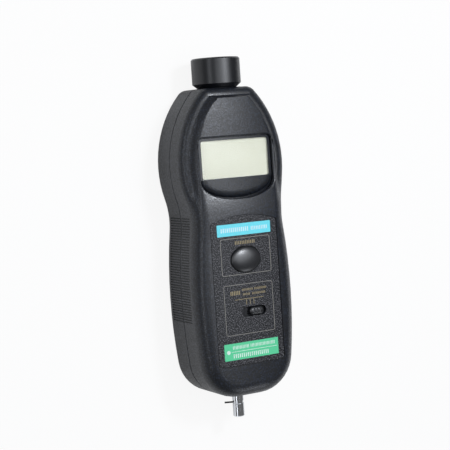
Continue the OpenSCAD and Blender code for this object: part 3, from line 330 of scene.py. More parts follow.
def display_glass(name, tint):
    """Blank liquid crystal glass: its polariser gives a flat pale grey-green with a slight silk."""
    made, tree, place = start(name)
    cloud = add(tree, "TexNoise", {"Vector": place, "Scale": per_metre(18), "Detail": 1})
    shade = add(tree, "Mix", {
        MIX_SHARE: cloud.outputs[0], MIX_A: rgba(tint, 0.94), MIX_B: rgba(tint),
    }, data_type="RGBA")
    silk = add(tree, "TexNoise", {"Vector": place, "Scale": per_metre(0.4), "Detail": 1})
    bump = add(tree, "Bump", {"Height": silk.outputs[0], "Strength": 0.3, "Distance": 0.005 * MM})
    shader = add(tree, "BsdfPrincipled", {
        "Base Color": shade.outputs[MIXED], "Roughness": 0.35, "Normal": bump.outputs[0],
    })
    close(tree, shader)
    return made


def worked_metal(name, tint, rough, pitch, relief):
    """Turned or ground metal: the tool or wheel leaves rings round the part's axis, which streak its gloss.

    Their pitch is in millimetres. The real rings are finer than 0.1 mm. They are drawn coarser, so that they
    show.
    """
    made, tree, place = start(name)
    rings = add(tree, "TexWave", {
        "Vector": place, "Scale": bands_per_metre(pitch), "Distortion": 1.5, "Detail": 2,
    }, bands_direction="Y")
    spots = add(tree, "TexNoise", {"Vector": place, "Scale": per_metre(1.2), "Detail": 3})
    gloss = add(tree, "MapRange", {"Value": spots.outputs[0], "To Min": rough * 0.7, "To Max": rough * 1.3})
    bump = add(tree, "Bump", {"Height": rings.outputs[0], "Strength": 0.6, "Distance": relief})
    shader = add(tree, "BsdfPrincipled", {
        "Base Color": rgba(tint), "Metallic": 1, "Roughness": gloss.outputs[0], "Normal": bump.outputs[0],
    })
    close(tree, shader)
    return made


def circuit_laminate(name):
    """Glass-epoxy laminate: green solder mask, paler where copper tracks run under it."""
    made, tree, place = start(name)
    tracks = add(tree, "TexBrick", {
        "Vector": place, "Color1": rgba(linear("#0f5a33")), "Color2": rgba(linear("#14683c")),
        "Mortar": rgba(linear("#0a4426")), "Scale": per_metre(9), "Mortar Size": 0.06,
    })
    bump = add(tree, "Bump", {"Height": tracks.outputs[1], "Strength": 0.5, "Distance": 0.03 * MM})
    shader = add(tree, "BsdfPrincipled", {
        "Base Color": tracks.outputs[0], "Roughness": 0.35, "Normal": bump.outputs[0],
    })
    close(tree, shader)
    return made


def striped_elastomer(name):
    """Layered silicone: thin dark and pale layers side by side, drawn coarser, so that they show."""
    made, tree, place = start(name)
    layers = add(tree, "TexWave", {"Vector": place, "Scale": bands_per_metre(1)}, bands_direction="X")
    shade = add(tree, "Mix", {
        MIX_SHARE: layers.outputs[1], MIX_A: rgba(linear("#1c1c1e")), MIX_B: rgba(linear("#8f9296")),
    }, data_type="RGBA")
    shader = add(tree, "BsdfPrincipled", {"Base Color": shade.outputs[MIXED], "Roughness": 0.7})
    close(tree, shader)
    return made


def cell_jacket(name, low, high):
    """Shrunk film on a steel can: a plain jacket with a pale band, and bare steel at both ends."""
    made, tree, place = start(name)
    half = (high - low) / 2
    bare_from = half - 2 * MM
    band_from = half * 0.62
    along = add(tree, "SeparateXYZ", {"Vector": place})
    off = add(tree, "Math", {0: along.outputs["Y"], 1: (low + high) / 2}, operation="SUBTRACT")
    far = add(tree, "Math", {0: off.outputs[0]}, operation="ABSOLUTE").outputs[0]
    bare = add(tree, "Math", {0: far, 1: bare_from}, operation="GREATER_THAN").outputs[0]
    band = add(tree, "Math", {0: far, 1: band_from}, operation="GREATER_THAN").outputs[0]
    film = add(tree, "Mix", {
        MIX_SHARE: band, MIX_A: rgba(linear("#23282e")), MIX_B: rgba(linear("#c3c6c9")),
    }, data_type="RGBA")
    shade = add(tree, "Mix", {
        MIX_SHARE: bare, MIX_A: film.outputs[MIXED], MIX_B: rgba(linear("#b9bcc0")),
    }, data_type="RGBA")
    wrinkle = add(tree, "TexNoise", {"Vector": place, "Scale": per_metre(3), "Detail": 2})
    bump = add(tree, "Bump", {"Height": wrinkle.outputs[0], "Strength": 0.2, "Distance": 0.03 * MM})
    shader = add(tree, "BsdfPrincipled", {
        "Base Color": shade.outputs[MIXED], "Metallic": bare, "Roughness": 0.3, "Normal": bump.outputs[0],
    })
    close(tree, shader)
    return made


def finish(name, make, **values):
    """The named material, made on first use."""
    return bpy.data.materials.get(name) or make(name, **values)


def shell_finish(context):
    """Housing ABS from a spark-eroded mould: a lively grain with painted glints, and painted shade and a dull
    gloss in the grooves of the grip.
    """
    sizes = context.scene.tacho_sizes
    return finish(
        "ABS_spark_textured", moulded_abs, tint=context.scene.tacho_colours.shell, grain=sizes.shell_grain,
        relief=0.08 * MM, rough=0.4, spread=0.6, crown=sizes.crown, groove=sizes.groove,
    )


def bezel_finish(context):
    """ABS round the display: satin black with a pale speckle of painted glints."""
    sizes = context.scene.tacho_sizes
    return finish(
        "ABS_satin", moulded_abs, tint=context.scene.tacho_colours.bezel, grain=sizes.shell_grain,
        relief=0.09 * MM, rough=0.4, spread=0.75, crown=sizes.crown,
    )


def smooth_finish(context, name, rough, spread=0.1, relief=0.001 * MM, coat=0):
    """One of the near-smooth black finishes of nose, buttons and knob."""
    scene = context.scene
    return finish(
        name, moulded_abs, tint=scene.tacho_colours.gloss, grain=scene.tacho_sizes.shell_grain,
        relief=relief, rough=rough, spread=spread, coat=coat,
    )


def gloss_finish(context):
    """ABS from a polished mould: deep black with soft highlights."""
    return smooth_finish(context, "ABS_semi_gloss", rough=0.34)


def button_finish(context):
    """Lacquered ABS: a broad highlight with a brighter middle."""
    return smooth_finish(context, "ABS_satin_lacquered", rough=0.4, coat=0.7)


def plate_finish(context):
    """ABS from a blasted mould: matt, so that the knob stands out on its plate."""
    return smooth_finish(context, "ABS_matt", rough=0.8, spread=0.3, relief=0.02 * MM)


def plated_steel():
    """Zinc on steel: pale grey with a soft mirror."""
    return finish(
        "Steel_zinc_plated", worked_metal, tint=linear("#b9bcc2"), rough=0.3, pitch=0.8, relief=0.002 * MM,
    )


def black_component():
    """Filled epoxy round electronic parts: dull black with a fine speckle."""
    return finish(
        "Epoxy_moulded_black", moulded_abs, tint=linear("#17181a"), grain=0.5 * MM,
        relief=0.01 * MM, rough=0.55, spread=0.2,
    )


def paint(names, made):
    """Gives CAD nodes a material."""
    for name in names:
        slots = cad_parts[name].data.materials
        slots.clear()
        slots.append(made)


def let_go():
    """Back to object mode with nothing selected."""
    if bpy.context.mode != "OBJECT":
        bpy.ops.object.mode_set(mode="OBJECT")
    bpy.ops.object.select_all(action="DESELECT")


def take(obj):
    """Makes obj the only selected and the active object."""
    let_go()
    obj.select_set(True)
    bpy.context.view_layer.objects.active = obj


def newest(name):
    """Names the primitive that was just added."""
    obj = bpy.context.active_object
    obj.name = name
    obj.data.name = name
    return obj


def apply_place():
    """Moves the place, turn and scale of the selected object into its mesh."""
    bpy.ops.object.transform_apply(location=True, rotation=True, scale=True)


def edit(obj):
    """Opens obj in edit mode with all of it selected."""
    take(obj)
    bpy.ops.object.mode_set(mode="EDIT")
    bpy.ops.mesh.select_all(action="SELECT")


def pick(obj, kind, test):
    """In edit mode, selects only those faces, edges or corners that pass the test."""
    bpy.ops.mesh.select_mode(type=kind)
    bpy.ops.mesh.select_all(action="DESELECT")
    mesh = bmesh.from_edit_mesh(obj.data)
    for part in {"FACE": mesh.faces, "EDGE": mesh.edges, "VERT": mesh.verts}[kind]:
        if test(part):
            part.select_set(True)
    mesh.select_flush_mode()
    bmesh.update_edit_mesh(obj.data)


def raise_by(height):
    """In edit mode, extrudes what is selected upwards."""
    bpy.ops.mesh.extrude_region_move(TRANSFORM_OT_translate={"value": (0, 0, height)})


def face_outwards():
    """In edit mode, turns all faces outwards."""
    bpy.ops.mesh.select_all(action="SELECT")
    bpy.ops.mesh.normals_make_consistent(inside=False)


def repeat(obj, count, step):
    """Repeats obj along X."""
    take(obj)
    row = obj.modifiers.new("Row", "ARRAY")
    row.count = count
    row.use_relative_offset = False
    row.use_constant_offset = True
    row.constant_offset_displace = (step, 0, 0)
    bpy.ops.object.modifier_apply(modifier=row.name)


def settle(obj, body, made, *nodes):
    """Applies the object's place, shades it, gives it its finish and hangs it on its body."""
    take(obj)
    apply_place()
    bpy.ops.object.shade_smooth_by_angle(angle=CURVE_ANGLE)
    obj.data.materials.clear()
    obj.data.materials.append(made)
    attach(obj, body)
    if nodes:
        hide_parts(*nodes)
    let_go()


def merged_copy(node, name):
    """A copy of a CAD node whose loose triangles are merged, so that its curves can shade smoothly."""
    obj = bpy.data.objects.new(name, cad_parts[node].data.copy())
    bpy.context.scene.collection.objects.link(obj)
    edit(obj)
    bpy.ops.mesh.remove_doubles(threshold=MERGE)
    bpy.ops.mesh.customdata_custom_splitnormals_clear()
    return obj


def steer_normals(obj):
    """Lets the large flats keep their own normals, so that only the rounds shade as curves."""
    take(obj)
    steer = obj.modifiers.new("Flats", "WEIGHTED_NORMAL")
    steer.keep_sharp = True
    bpy.ops.object.modifier_apply(modifier=steer.name)
    let_go()


def is_rim(edge, low, high):
    """True if a sharp edge lies inside a box."""
    if not edge.is_manifold or edge.calc_face_angle() < RIM_ANGLE:
        return False
    return all(low[i] < v.co[i] < high[i] for v in edge.verts for i in range(3))


class TACHO_OT_housing(bpy.types.Operator):
    """Rounds the rim of the display opening and gives both shells, the door and the screws their finish"""

    bl_idname = "tacho.housing"
    bl_label = "Housing"

    def execute(self, context):
        made = shell_finish(context)
        self.make_front(context.scene.tacho_sizes, made)
        rear = merged_copy("rear_shell", "rear_shell_moulded")
        settle(rear, "housing", made, "rear_shell")
        steer_normals(rear)
        paint(["battery_door"], made)
        paint(["housing_screws"], plated_steel())
        return {"FINISHED"}

    def make_front(self, sizes, made):
        # The rim of the opening runs over the bezel's outline, from just below it to a little above
        low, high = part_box("display_bezel")
        below = Vector((0, 0, 0.4)) * MM
        above = Vector((0, 0, 4)) * MM
        front = merged_copy("front_shell", "front_shell_moulded")
        pick(front, "EDGE", lambda edge: is_rim(edge, low - below, high + above))
        bpy.ops.mesh.bevel(offset=sizes.rim_round, segments=4, affect="EDGES", clamp_overlap=False)
        settle(front, "housing", made, "front_shell")
        steer_normals(front)


class TACHO_OT_display(bpy.types.Operator):
    """Makes the display window and gives the bezel, the glass and the elastomer strips their finish"""

    bl_idname = "tacho.display"
    bl_label = "Display"

    def execute(self, context):
        tint = context.scene.tacho_colours.display
        bezel = merged_copy("display_bezel", "display_bezel_moulded")
        settle(bezel, "housing", bezel_finish(context), "display_bezel")
        steer_normals(bezel)
        self.make_window(context.scene.tacho_sizes)
        paint(["lcd_panel"], finish("Liquid_crystal_glass", display_glass, tint=tint))
        paint(["zebra_strips"], finish("Silicone_layered", striped_elastomer))
        return {"FINISHED"}

    def make_window(self, sizes):
        low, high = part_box("lcd_window")
        base = low.z + sizes.pane_gap
        pane = flat_patch("lcd_window_pane", (low.x, high.x), (low.y, high.y), base, sizes.pane_corner)
        raise_by(high.z - base)
        pick(pane, "EDGE", lambda edge: all(v.co.z > high.z - TOUCH for v in edge.verts))
        bpy.ops.mesh.bevel(offset=sizes.pane_round, segments=3, affect="EDGES")
        face_outwards()
        made = finish("Acrylic_clear_satin", clear_acrylic, tint=linear("#fbfcfb"), rough=0.2)
        settle(pane, "housing", made, "lcd_window")


class TACHO_OT_front_sheet(bpy.types.Operator):
    """Trims the front sheet, gives it its embossed grain and its two printed fields their colours"""

    bl_idname = "tacho.front_sheet"
    bl_label = "Front sheet"

    def execute(self, context):
        sizes = context.scene.tacho_sizes
        colours = context.scene.tacho_colours
        low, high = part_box("panel_overlay")
        middle = (low + high) / 2
        pull = [1 - sizes.sheet_gap / (high[i] - middle[i]) for i in range(2)]
        holes = [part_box("memory_button"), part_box("mode_knob")]
        sheet = merged_copy("panel_overlay", "front_sheet_trimmed")
        pick(sheet, "VERT", lambda corner: not self.is_by_hole(corner.co, holes))
        bpy.ops.transform.resize(value=(*pull, 1), center_override=middle)
        made = finish(
            "Polycarbonate_embossed", embossed_sheet, low=colours.sheet_dark, high=colours.sheet_painted_glint,
            grain=sizes.sheet_grain, crown=sizes.crown,
        )
        settle(sheet, "housing", made, "panel_overlay")
        paint(["blue_field"], finish("Film_printed_blue", printed_film, tint=colours.blue))
        paint(["green_field"], finish("Film_printed_green", printed_film, tint=colours.green))
        return {"FINISHED"}

    def is_by_hole(self, point, holes):
        """True for a point on or near one of the holes, which keep their place."""
        margin = 4 * MM
        for low, high in holes:
            if all(low[i] - margin < point[i] < high[i] + margin for i in range(2)):
                return True
        return False


def flat_patch(name, x, y, z, corner):
    """A flat rectangle between two pairs of sides, in edit mode, with its corners rounded."""
    let_go()
    bpy.ops.mesh.primitive_plane_add(size=1, location=((x[0] + x[1]) / 2, (y[0] + y[1]) / 2, z))
    obj = newest(name)
    obj.scale = (x[1] - x[0], y[1] - y[0], 1)
    apply_place()
    edit(obj)
    bpy.ops.mesh.bevel(offset=corner, segments=4, affect="VERTICES")
    return obj


def thicken(obj, sizes):
    """Gives a flat mark its thickness of ink, from just inside the sheet to just above it."""
    take(obj)
    coat = obj.modifiers.new("Ink", "SOLIDIFY")
    coat.thickness = sizes.ink_t + sizes.ink_sunk
    coat.offset = 1
    bpy.ops.object.modifier_apply(modifier=coat.name)


def ink_base(field, sizes):
    """Height at which marks on a printed field or on the sheet start."""
    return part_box(field)[1].z - sizes.ink_sunk


class TACHO_OT_printed_frames(bpy.types.Operator):
    """Prints the two thin frames round the memory button and the mode switch"""

    bl_idname = "tacho.printed_frames"
    bl_label = "Printed frames"

    # Left, right, lower and upper side of each frame, in millimetres
    frames = {"memory_frame": (-15.6, 16.3, -18.9, 1.7), "switch_frame": (-15.4, 16.2, -52.6, -24.3)}

    def execute(self, context):
        sizes = context.scene.tacho_sizes
        tint = context.scene.tacho_colours.grey_ink
        made = finish("Ink_grey", printed_film, tint=tint, wear=0.35, rough=0.5)
        level = ink_base("panel_overlay", sizes)
        for name, (left, right, low, high) in self.frames.items():
            obj = flat_patch(name, (left * MM, right * MM), (low * MM, high * MM), level, sizes.line_corner)
            bpy.ops.mesh.select_all(action="SELECT")
            bpy.ops.mesh.inset(thickness=sizes.line_w)
            bpy.ops.mesh.delete(type="FACE")
            thicken(obj, sizes)
            settle(obj, "housing", made)
        return {"FINISHED"}


class TACHO_OT_printed_rows(bpy.types.Operator):
    """Prints the rows of plain strokes, the ticks over the switch and the dot on the green field"""

    bl_idname = "tacho.printed_rows"
    bl_label = "Printed rows"

    # Field, ink, left end, middle height, stroke width, stroke height, step and number of strokes.
    # Places and sizes are in millimetres
    rows = {
        "memory_caption": ("panel_overlay", "tan_ink", -6.2, -1.0, 0.5, 1.9, 1.1, 12),
        "switch_unit": ("panel_overlay", "tan_ink", -11.2, -29.0, 0.55, 2.3, 1.1, 6),
        "switch_upper_caption_1": ("panel_overlay", "tan_ink", -3.6, -27.6, 0.36, 1.2, 0.8, 9),
        "switch_upper_caption_2": ("panel_overlay", "tan_ink", 4.4, -27.6, 0.36, 1.2, 0.8, 10),
        "switch_lower_caption_1": ("panel_overlay", "tan_ink", -3.2, -30.2, 0.36, 1.2, 0.8, 6),
        "switch_lower_caption_2": ("panel_overlay", "tan_ink", 2.8, -30.2, 0.36, 1.2, 0.8, 11),
        "switch_rule": ("panel_overlay", "tan_ink", -8.6, -32.8, 18.4, 0.26, 20, 1),
        "switch_ticks": ("panel_overlay", "tan_ink", -1.4, -34.6, 0.28, 3.2, 2.4, 3),
        "blue_caption_1": ("blue_field", "pale_ink", -14.8, 6.5, 0.62, 2.5, 1.3, 14),
        "blue_caption_2": ("blue_field", "pale_ink", 4.6, 6.5, 0.5, 2.1, 1.1, 10),
        "green_upper_caption_1": ("green_field", "white_ink", -12.0, -59.4, 0.4, 1.9, 0.9, 12),
        "green_upper_caption_2": ("green_field", "white_ink", -0.6, -59.4, 0.4, 1.9, 0.9, 18),
        "green_rule": ("green_field", "white_ink", -13.0, -61.7, 29.6, 0.24, 31, 1),
        "green_lower_caption": ("green_field", "white_ink", -11.9, -64.1, 0.6, 2.3, 1.3, 18),
    }
    # Corner radius of a stroke, as a share of its narrower side
    stroke_round = 0.2
    # Middle of the dot, in millimetres
    dot_at = (-14.9, -61.7)

    def execute(self, context):
        sizes = context.scene.tacho_sizes
        colours = context.scene.tacho_colours
        for name, (field, ink, left, middle, wide, tall, step, count) in self.rows.items():
            x = (left * MM, (left + wide) * MM)
            y = ((middle - tall / 2) * MM, (middle + tall / 2) * MM)
            obj = flat_patch(name, x, y, ink_base(field, sizes), min(wide, tall) * self.stroke_round * MM)
            thicken(obj, sizes)
            repeat(obj, count, step * MM)
            made = finish("Ink_" + ink, printed_film, tint=getattr(colours, ink), wear=0.25, rough=0.5)
            settle(obj, "housing", made)
        self.make_dot(sizes)
        return {"FINISHED"}

    def make_dot(self, sizes):
        x, y = self.dot_at
        let_go()
        bpy.ops.mesh.primitive_circle_add(
            vertices=24, radius=sizes.dot_d / 2, fill_type="NGON",
            location=(x * MM, y * MM, ink_base("green_field", sizes)),
        )
        dot = newest("green_dot")
        edit(dot)
        raise_by(sizes.ink_t + sizes.ink_sunk)
        bpy.ops.mesh.inset(thickness=sizes.ink_t)
        face_outwards()
        settle(dot, "housing", bpy.data.materials["Ink_white_ink"])


class TACHO_OT_memory_button(bpy.types.Operator):
    """Models the oval memory button: lip, straight skirt and a smooth dome"""

    bl_idname = "tacho.memory_button"
    bl_label = "Memory button"

    def execute(self, context):
        sizes = context.scene.tacho_sizes
        low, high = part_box("memory_button")
        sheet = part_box("panel_overlay")[1].z
        middle = (low + high) / 2
        half = (high - low) / 2
        let_go()
        bpy.ops.mesh.primitive_circle_add(
            vertices=96, radius=1, fill_type="NGON", location=(middle.x, middle.y, low.z),
        )
        obj = newest("memory_button_domed")
        obj.scale = (half.x, half.y, 1)
        apply_place()
        edit(obj)
        raise_by(sizes.lip_t)
        bpy.ops.mesh.inset(thickness=sizes.lip_w)
        raise_by(sheet - low.z - sizes.lip_t)
        self.make_dome(Vector((middle.x, middle.y, sheet)), high.z - sheet)
        face_outwards()
        settle(obj, "memory_key", button_finish(context), "memory_button")
        return {"FINISHED"}

    def make_dome(self, base, rise):
        """Draws the selected top in, ring by ring, along a quarter of an ellipse."""
        rings = 14
        height = 0
        reach = 1
        for i in range(1, rings):
            turn = math.pi / 2 * i / rings
            raise_by(rise * math.sin(turn) - height)
            height = rise * math.sin(turn)
            shrink = math.cos(turn) / reach
            reach = math.cos(turn)
            bpy.ops.transform.resize(value=(shrink, shrink, 1), center_override=base + Vector((0, 0, height)))
        bpy.ops.mesh.poke(offset=rise - height)


def scaled_cube(name, middle, size):
    """A cube drawn out to a block, in edit mode."""
    let_go()
    bpy.ops.mesh.primitive_cube_add(size=1, location=middle)
    obj = newest(name)
    obj.scale = size
    apply_place()
    edit(obj)
    return obj


class TACHO_OT_mode_knob(bpy.types.Operator):
    """Models the mode knob: a rounded bar with thumb notches on a flat slider plate"""

    bl_idname = "tacho.mode_knob"
    bl_label = "Mode knob"

    # The bar's ends are round: this share of its width is just under half, so that the arcs don't meet
    end_round = 0.498
    notches = 3

    def execute(self, context):
        sizes = context.scene.tacho_sizes
        low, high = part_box("mode_knob")
        middle = (low + high) / 2
        plate_middle = Vector((middle.x, middle.y, low.z + sizes.lip_t / 2))
        plate = scaled_cube("mode_knob_plate", plate_middle, (high.x - low.x, high.y - low.y, sizes.lip_t))
        bpy.ops.mesh.bevel(offset=sizes.plate_round, segments=2, affect="EDGES")
        bar = self.make_bar(sizes, plate_middle, high.z)
        self.cut_notches(bar, sizes, Vector((middle.x, middle.y, high.z)))
        settle(bar, "mode_slider", button_finish(context), "mode_knob")
        settle(plate, "mode_slider", plate_finish(context))
        return {"FINISHED"}

    def make_bar(self, sizes, foot, top):
        middle = (foot.x, foot.y, (foot.z + top) / 2)
        bar = scaled_cube("mode_knob_bar", middle, (sizes.knob_w, sizes.knob_h, top - foot.z))
        pick(bar, "EDGE", lambda edge: abs(edge.verts[0].co.z - edge.verts[1].co.z) > TOUCH)
        bpy.ops.mesh.bevel(offset=sizes.knob_h * self.end_round, segments=14, affect="EDGES")
        pick(bar, "EDGE", lambda edge: all(v.co.z > top - TOUCH for v in edge.verts))
        bpy.ops.mesh.bevel(offset=sizes.knob_round, segments=6, affect="EDGES")
        return bar

    def cut_notches(self, bar, sizes, top):
        first = top - Vector((sizes.notch_pitch * (self.notches - 1) / 2, 0, 0))
        let_go()
        bpy.ops.mesh.primitive_cylinder_add(
            vertices=32, radius=sizes.notch_r, depth=sizes.knob_h * 2, location=first,
            rotation=(math.pi / 2, 0, 0),
        )
        cutter = newest("notch_cutter")
        apply_place()
        repeat(cutter, self.notches, sizes.notch_pitch)
        take(bar)
        cut = bar.modifiers.new("Notches", "BOOLEAN")
        cut.operation = "DIFFERENCE"
        cut.solver = "MANIFOLD"
        cut.object = cutter
        bpy.ops.object.modifier_apply(modifier=cut.name)
        bpy.data.objects.remove(cutter)


class TACHO_OT_measure_button(bpy.types.Operator):
    """Rounds the rim of the measure button on the right side"""

    bl_idname = "tacho.measure_button"
    bl_label = "Measure button"

    def execute(self, context):
        sizes = context.scene.tacho_sizes
        low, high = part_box("measure_button")
        # Only the outer rim is rounded: what lies further out than the lip
        past_lip = low.x + sizes.lip_t + 0.5 * MM
        margin = Vector((1, 1, 1)) * MM
        obj = merged_copy("measure_button", "measure_button_moulded")
        pick(obj, "EDGE", lambda edge: is_rim(edge, (past_lip, low.y, low.z), high + margin))
        bpy.ops.mesh.bevel(offset=sizes.button_round, segments=4, affect="EDGES", clamp_overlap=False)
        settle(obj, "measure_key", gloss_finish(context), "measure_button")
        steer_normals(obj)
        return {"FINISHED"}


class TACHO_OT_nose(bpy.types.Operator):
    """Gives the nose barrel and the optics inside it their finish"""

    bl_idname = "tacho.nose"
    bl_label = "Nose"

    def execute(self, context):
        # Warm yellow with clear tool rings
        brass = finish(
            "Brass_turned", worked_metal, tint=linear("#c79a4b"), rough=0.3, pitch=1, relief=0.004 * MM,
        )
        paint(["nose_barrel"], gloss_finish(context))
        paint(["nose_window"], finish("Acrylic_red", clear_acrylic, tint=linear("#b8262d")))
        paint(["receiver_lens"], finish("Acrylic_clear", clear_acrylic, tint=linear("#f4f7f4")))
        paint(["optics_plate"], bezel_finish(context))
        paint(["laser_module"], brass)
        paint(["sensor_board"], finish("Laminate_green", circuit_laminate))
        paint(["photodiode"], black_component())
        return {"FINISHED"}


class TACHO_OT_shaft(bpy.types.Operator):
    """Gives the contact shaft, its pin, bushes, block and slotted disc their finish"""

    bl_idname = "tacho.shaft"
    bl_label = "Contact shaft"

    def execute(self, context):
        # A bright mirror with faint rings
        chrome = finish(
            "Steel_chrome_plated", worked_metal, tint=linear("#dfe1e4"), rough=0.12, pitch=1.2,
            relief=0.001 * MM,
        )
        # Dark grey with a low gloss
        blackened = finish(
            "Steel_blackened", worked_metal, tint=linear("#3a3b3d"), rough=0.4, pitch=0.8, relief=0.002 * MM,
        )
        # Brown and dull, as its pores hold oil
        bronze = finish(
            "Bronze_sintered", worked_metal, tint=linear("#9c7443"), rough=0.5, pitch=0.6, relief=0.01 * MM,
        )
        # Pale with clear tool rings
        aluminium = finish(
            "Aluminium_turned", worked_metal, tint=linear("#c9cbce"), rough=0.3, pitch=1, relief=0.004 * MM,
        )
        paint(["contact_shaft"], chrome)
        paint(["drive_pin", "retaining_ring"], blackened)
        paint(["outer_bush", "inner_bush"], bronze)
        paint(["disc_hub"], aluminium)
        paint(["bearing_block"], bezel_finish(context))
        paint(["encoder_disc", "photo_interrupter"], black_component())
        return {"FINISHED"}


class TACHO_OT_inner_works(bpy.types.Operator):
    """Gives the boards, switches, strips, cells and contacts inside the housing their finish"""

    bl_idname = "tacho.inner_works"
    bl_label = "Inner works"

    def execute(self, context):
        # Smooth clear amber
        film = finish("Polyimide_film", printed_film, tint=linear("#b3721f"), wear=0.15, rough=0.3)
        steel = ["mode_switch", "quartz_crystal", "board_screws", "contact_springs", "contact_plates"]
        paint(["main_board", "encoder_board"], finish("Laminate_green", circuit_laminate))
        paint(["controller_chip", "memory_switch", "measure_switch", "mode_lever"], black_component())
        paint(["memory_plunger", "measure_plunger"], gloss_finish(context))
        paint(steel, plated_steel())
        paint(["sensor_ribbon", "encoder_ribbon"], film)
        for name in ("cell_1", "cell_2", "cell_3"):
            low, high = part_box(name)
            paint([name], finish("Steel_jacketed_" + name, cell_jacket, low=low.y, high=high.y))
        return {"FINISHED"}


def soft_box(name, place, target, size, watts, tint):
    """A rectangular studio lamp that faces a point."""
    lamp = bpy.data.lights.new(name, "AREA")
    lamp.shape = "RECTANGLE"
    lamp.size, lamp.size_y = size
    lamp.energy = watts
    lamp.color = tint
    obj = bpy.data.objects.new(name, lamp)
    obj.location = place
    obj.rotation_euler = (Vector(target) - Vector(place)).to_track_quat("-Z", "Y").to_euler()
    bpy.context.scene.collection.objects.link(obj)


def seen_white(tree, straight, mirrored):
    """A socket with the share of white that rays see straight, and mirrored or through glass."""
    rays = add(tree, "LightPath", {})
    other = add(tree, "Math", {
        0: rays.outputs["Is Glossy Ray"], 1: rays.outputs["Is Transmission Ray"],
    }, operation="MAXIMUM")
    dim = add(tree, "Math", {0: other.outputs[0], 1: mirrored}, operation="MULTIPLY")
    seen = add(tree, "Math", {
        0: rays.outputs["Is Camera Ray"], 1: straight, 2: dim.outputs[0],
    }, operation="MULTIPLY_ADD")
    return seen.outputs[0]


def floor_paper(name, studio):
    """Matt pale paper that keeps a faint shadow and shows white where the shadow ends."""
    made, tree, place = start(name)
    fibre = add(tree, "TexNoise", {"Vector": place, "Scale": per_metre(2), "Detail": 2})
    bump = add(tree, "Bump", {"Height": fibre.outputs[0], "Strength": 0.05, "Distance": 0.02 * MM})
    paper = add(tree, "BsdfDiffuse", {"Color": rgba(studio.floor), "Normal": bump.outputs[0]})
    white = add(tree, "Emission", {"Color": WHITE, "Strength": 1})
    seen = seen_white(tree, studio.floor_seen, studio.floor_mirrored)
    close(tree, add(tree, "MixShader", {0: seen, 1: paper.outputs[0], 2: white.outputs[0]}))
    return made


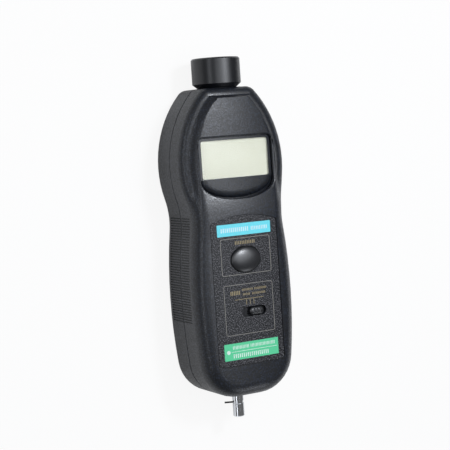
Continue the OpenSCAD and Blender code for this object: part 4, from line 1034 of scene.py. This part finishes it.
class TACHO_OT_studio(bpy.types.Operator):
    """Sets the paper floor, the lamps, the even sky and the camera at the photograph's angle"""

    bl_idname = "tacho.studio"
    bl_label = "Studio"

    # Place of each lamp, the point that it faces, and its two sides
    lamps = {
        "key": ((0.15, 0.1, 0.62), (0.02, 0.02, 0.03), (0.42, 0.46)),
        "top": ((0.16, 0.28, 0.62), (0, 0, 0.03), (0.12, 0.12)),
        "left": ((-0.2, 0.12, 0.6), (0, 0.02, 0.03), (0.46, 0.22)),
        "foot": ((0.3, -0.6, 0.3), (0, -0.05, 0.03), (0.3, 0.3)),
        "side": ((-0.6, 0.08, 0.4), (0, 0.05, 0.03), (0.7, 0.08)),
    }
    # So wide that its edge lies at the horizon in a low view, and a hair below the instrument
    floor_side = 120
    floor_drop = 0.05 * MM
    # Point at the middle of the view
    view_middle = Vector((-1.32, 8.09, 19)) * MM

    def execute(self, context):
        scene = context.scene
        studio = scene.tacho_studio
        scene.view_settings.view_transform = "Standard"
        let_go()
        bpy.ops.mesh.primitive_plane_add(size=self.floor_side, location=(0, 0, -self.floor_drop))
        floor = newest("studio_floor")
        floor.data.materials.append(floor_paper("Paper_white", studio))
        for name, (place, target, size) in self.lamps.items():
            soft_box(name + "_lamp", place, target, size, getattr(studio, name), studio.lamp)
        self.make_sky(scene, studio.sky)
        self.make_camera(scene, studio)
        return {"FINISHED"}

    def make_sky(self, scene, strength):
        world = bpy.data.worlds.new("studio_sky")
        world.use_nodes = True
        tree = world.node_tree
        tree.nodes.clear()
        sky = add(tree, "Background", {"Color": WHITE, "Strength": strength})
        add(tree, "OutputWorld", {"Surface": sky.outputs[0]})
        scene.world = world

    def make_camera(self, scene, studio):
        away = Vector((
            -math.sin(studio.yaw) * math.cos(studio.pitch),
            math.sin(studio.pitch),
            math.cos(studio.yaw) * math.cos(studio.pitch),
        ))
        right = (-away).cross(Vector((0, 1, 0))).normalized()
        up = right.cross(-away)
        turned = Matrix((
            right * math.cos(studio.roll) - up * math.sin(studio.roll),
            right * math.sin(studio.roll) + up * math.cos(studio.roll),
            away,
        ))
        eye = bpy.data.cameras.new("photo_camera")
        eye.lens = studio.lens
        eye.clip_start = 10 * MM
        obj = bpy.data.objects.new("photo_camera", eye)
        place = Matrix.Translation(self.view_middle + away * studio.distance)
        obj.matrix_world = place @ turned.transposed().to_4x4()
        scene.collection.objects.link(obj)
        scene.camera = obj


STEPS = (
    TACHO_OT_studio,
    TACHO_OT_housing,
    TACHO_OT_display,
    TACHO_OT_front_sheet,
    TACHO_OT_printed_frames,
    TACHO_OT_printed_rows,
    TACHO_OT_memory_button,
    TACHO_OT_mode_knob,
    TACHO_OT_measure_button,
    TACHO_OT_nose,
    TACHO_OT_shaft,
    TACHO_OT_inner_works,
)


class TACHO_PT_looks(bpy.types.Panel):
    """Lists the steps that dress the tachometer, and the values they use"""

    bl_label = "Laser tachometer"
    bl_idname = "TACHO_PT_looks"
    bl_space_type = "VIEW_3D"
    bl_region_type = "UI"
    bl_category = "Tachometer"

    def draw(self, context):
        for step in STEPS:
            self.layout.operator(step.bl_idname)
        for group in (context.scene.tacho_sizes, context.scene.tacho_colours, context.scene.tacho_studio):
            box = self.layout.box()
            for key in group.bl_rna.properties.keys():
                if key not in ("rna_type", "name"):
                    box.prop(group, key)


GROUPS = {"tacho_sizes": TachoSizes, "tacho_colours": TachoColours, "tacho_studio": TachoStudio}


def register():
    for kind in (*GROUPS.values(), *STEPS, TACHO_PT_looks):
        bpy.utils.register_class(kind)
    for name, group in GROUPS.items():
        setattr(bpy.types.Scene, name, PointerProperty(type=group))


def unregister():
    for name in GROUPS:
        delattr(bpy.types.Scene, name)
    for kind in (TACHO_PT_looks, *reversed(STEPS), *GROUPS.values()):
        bpy.utils.unregister_class(kind)


def main():
    register()
    for step in STEPS:
        family, name = step.bl_idname.split(".")
        getattr(getattr(bpy.ops, family), name)()


if __name__ == "__main__":
    main()
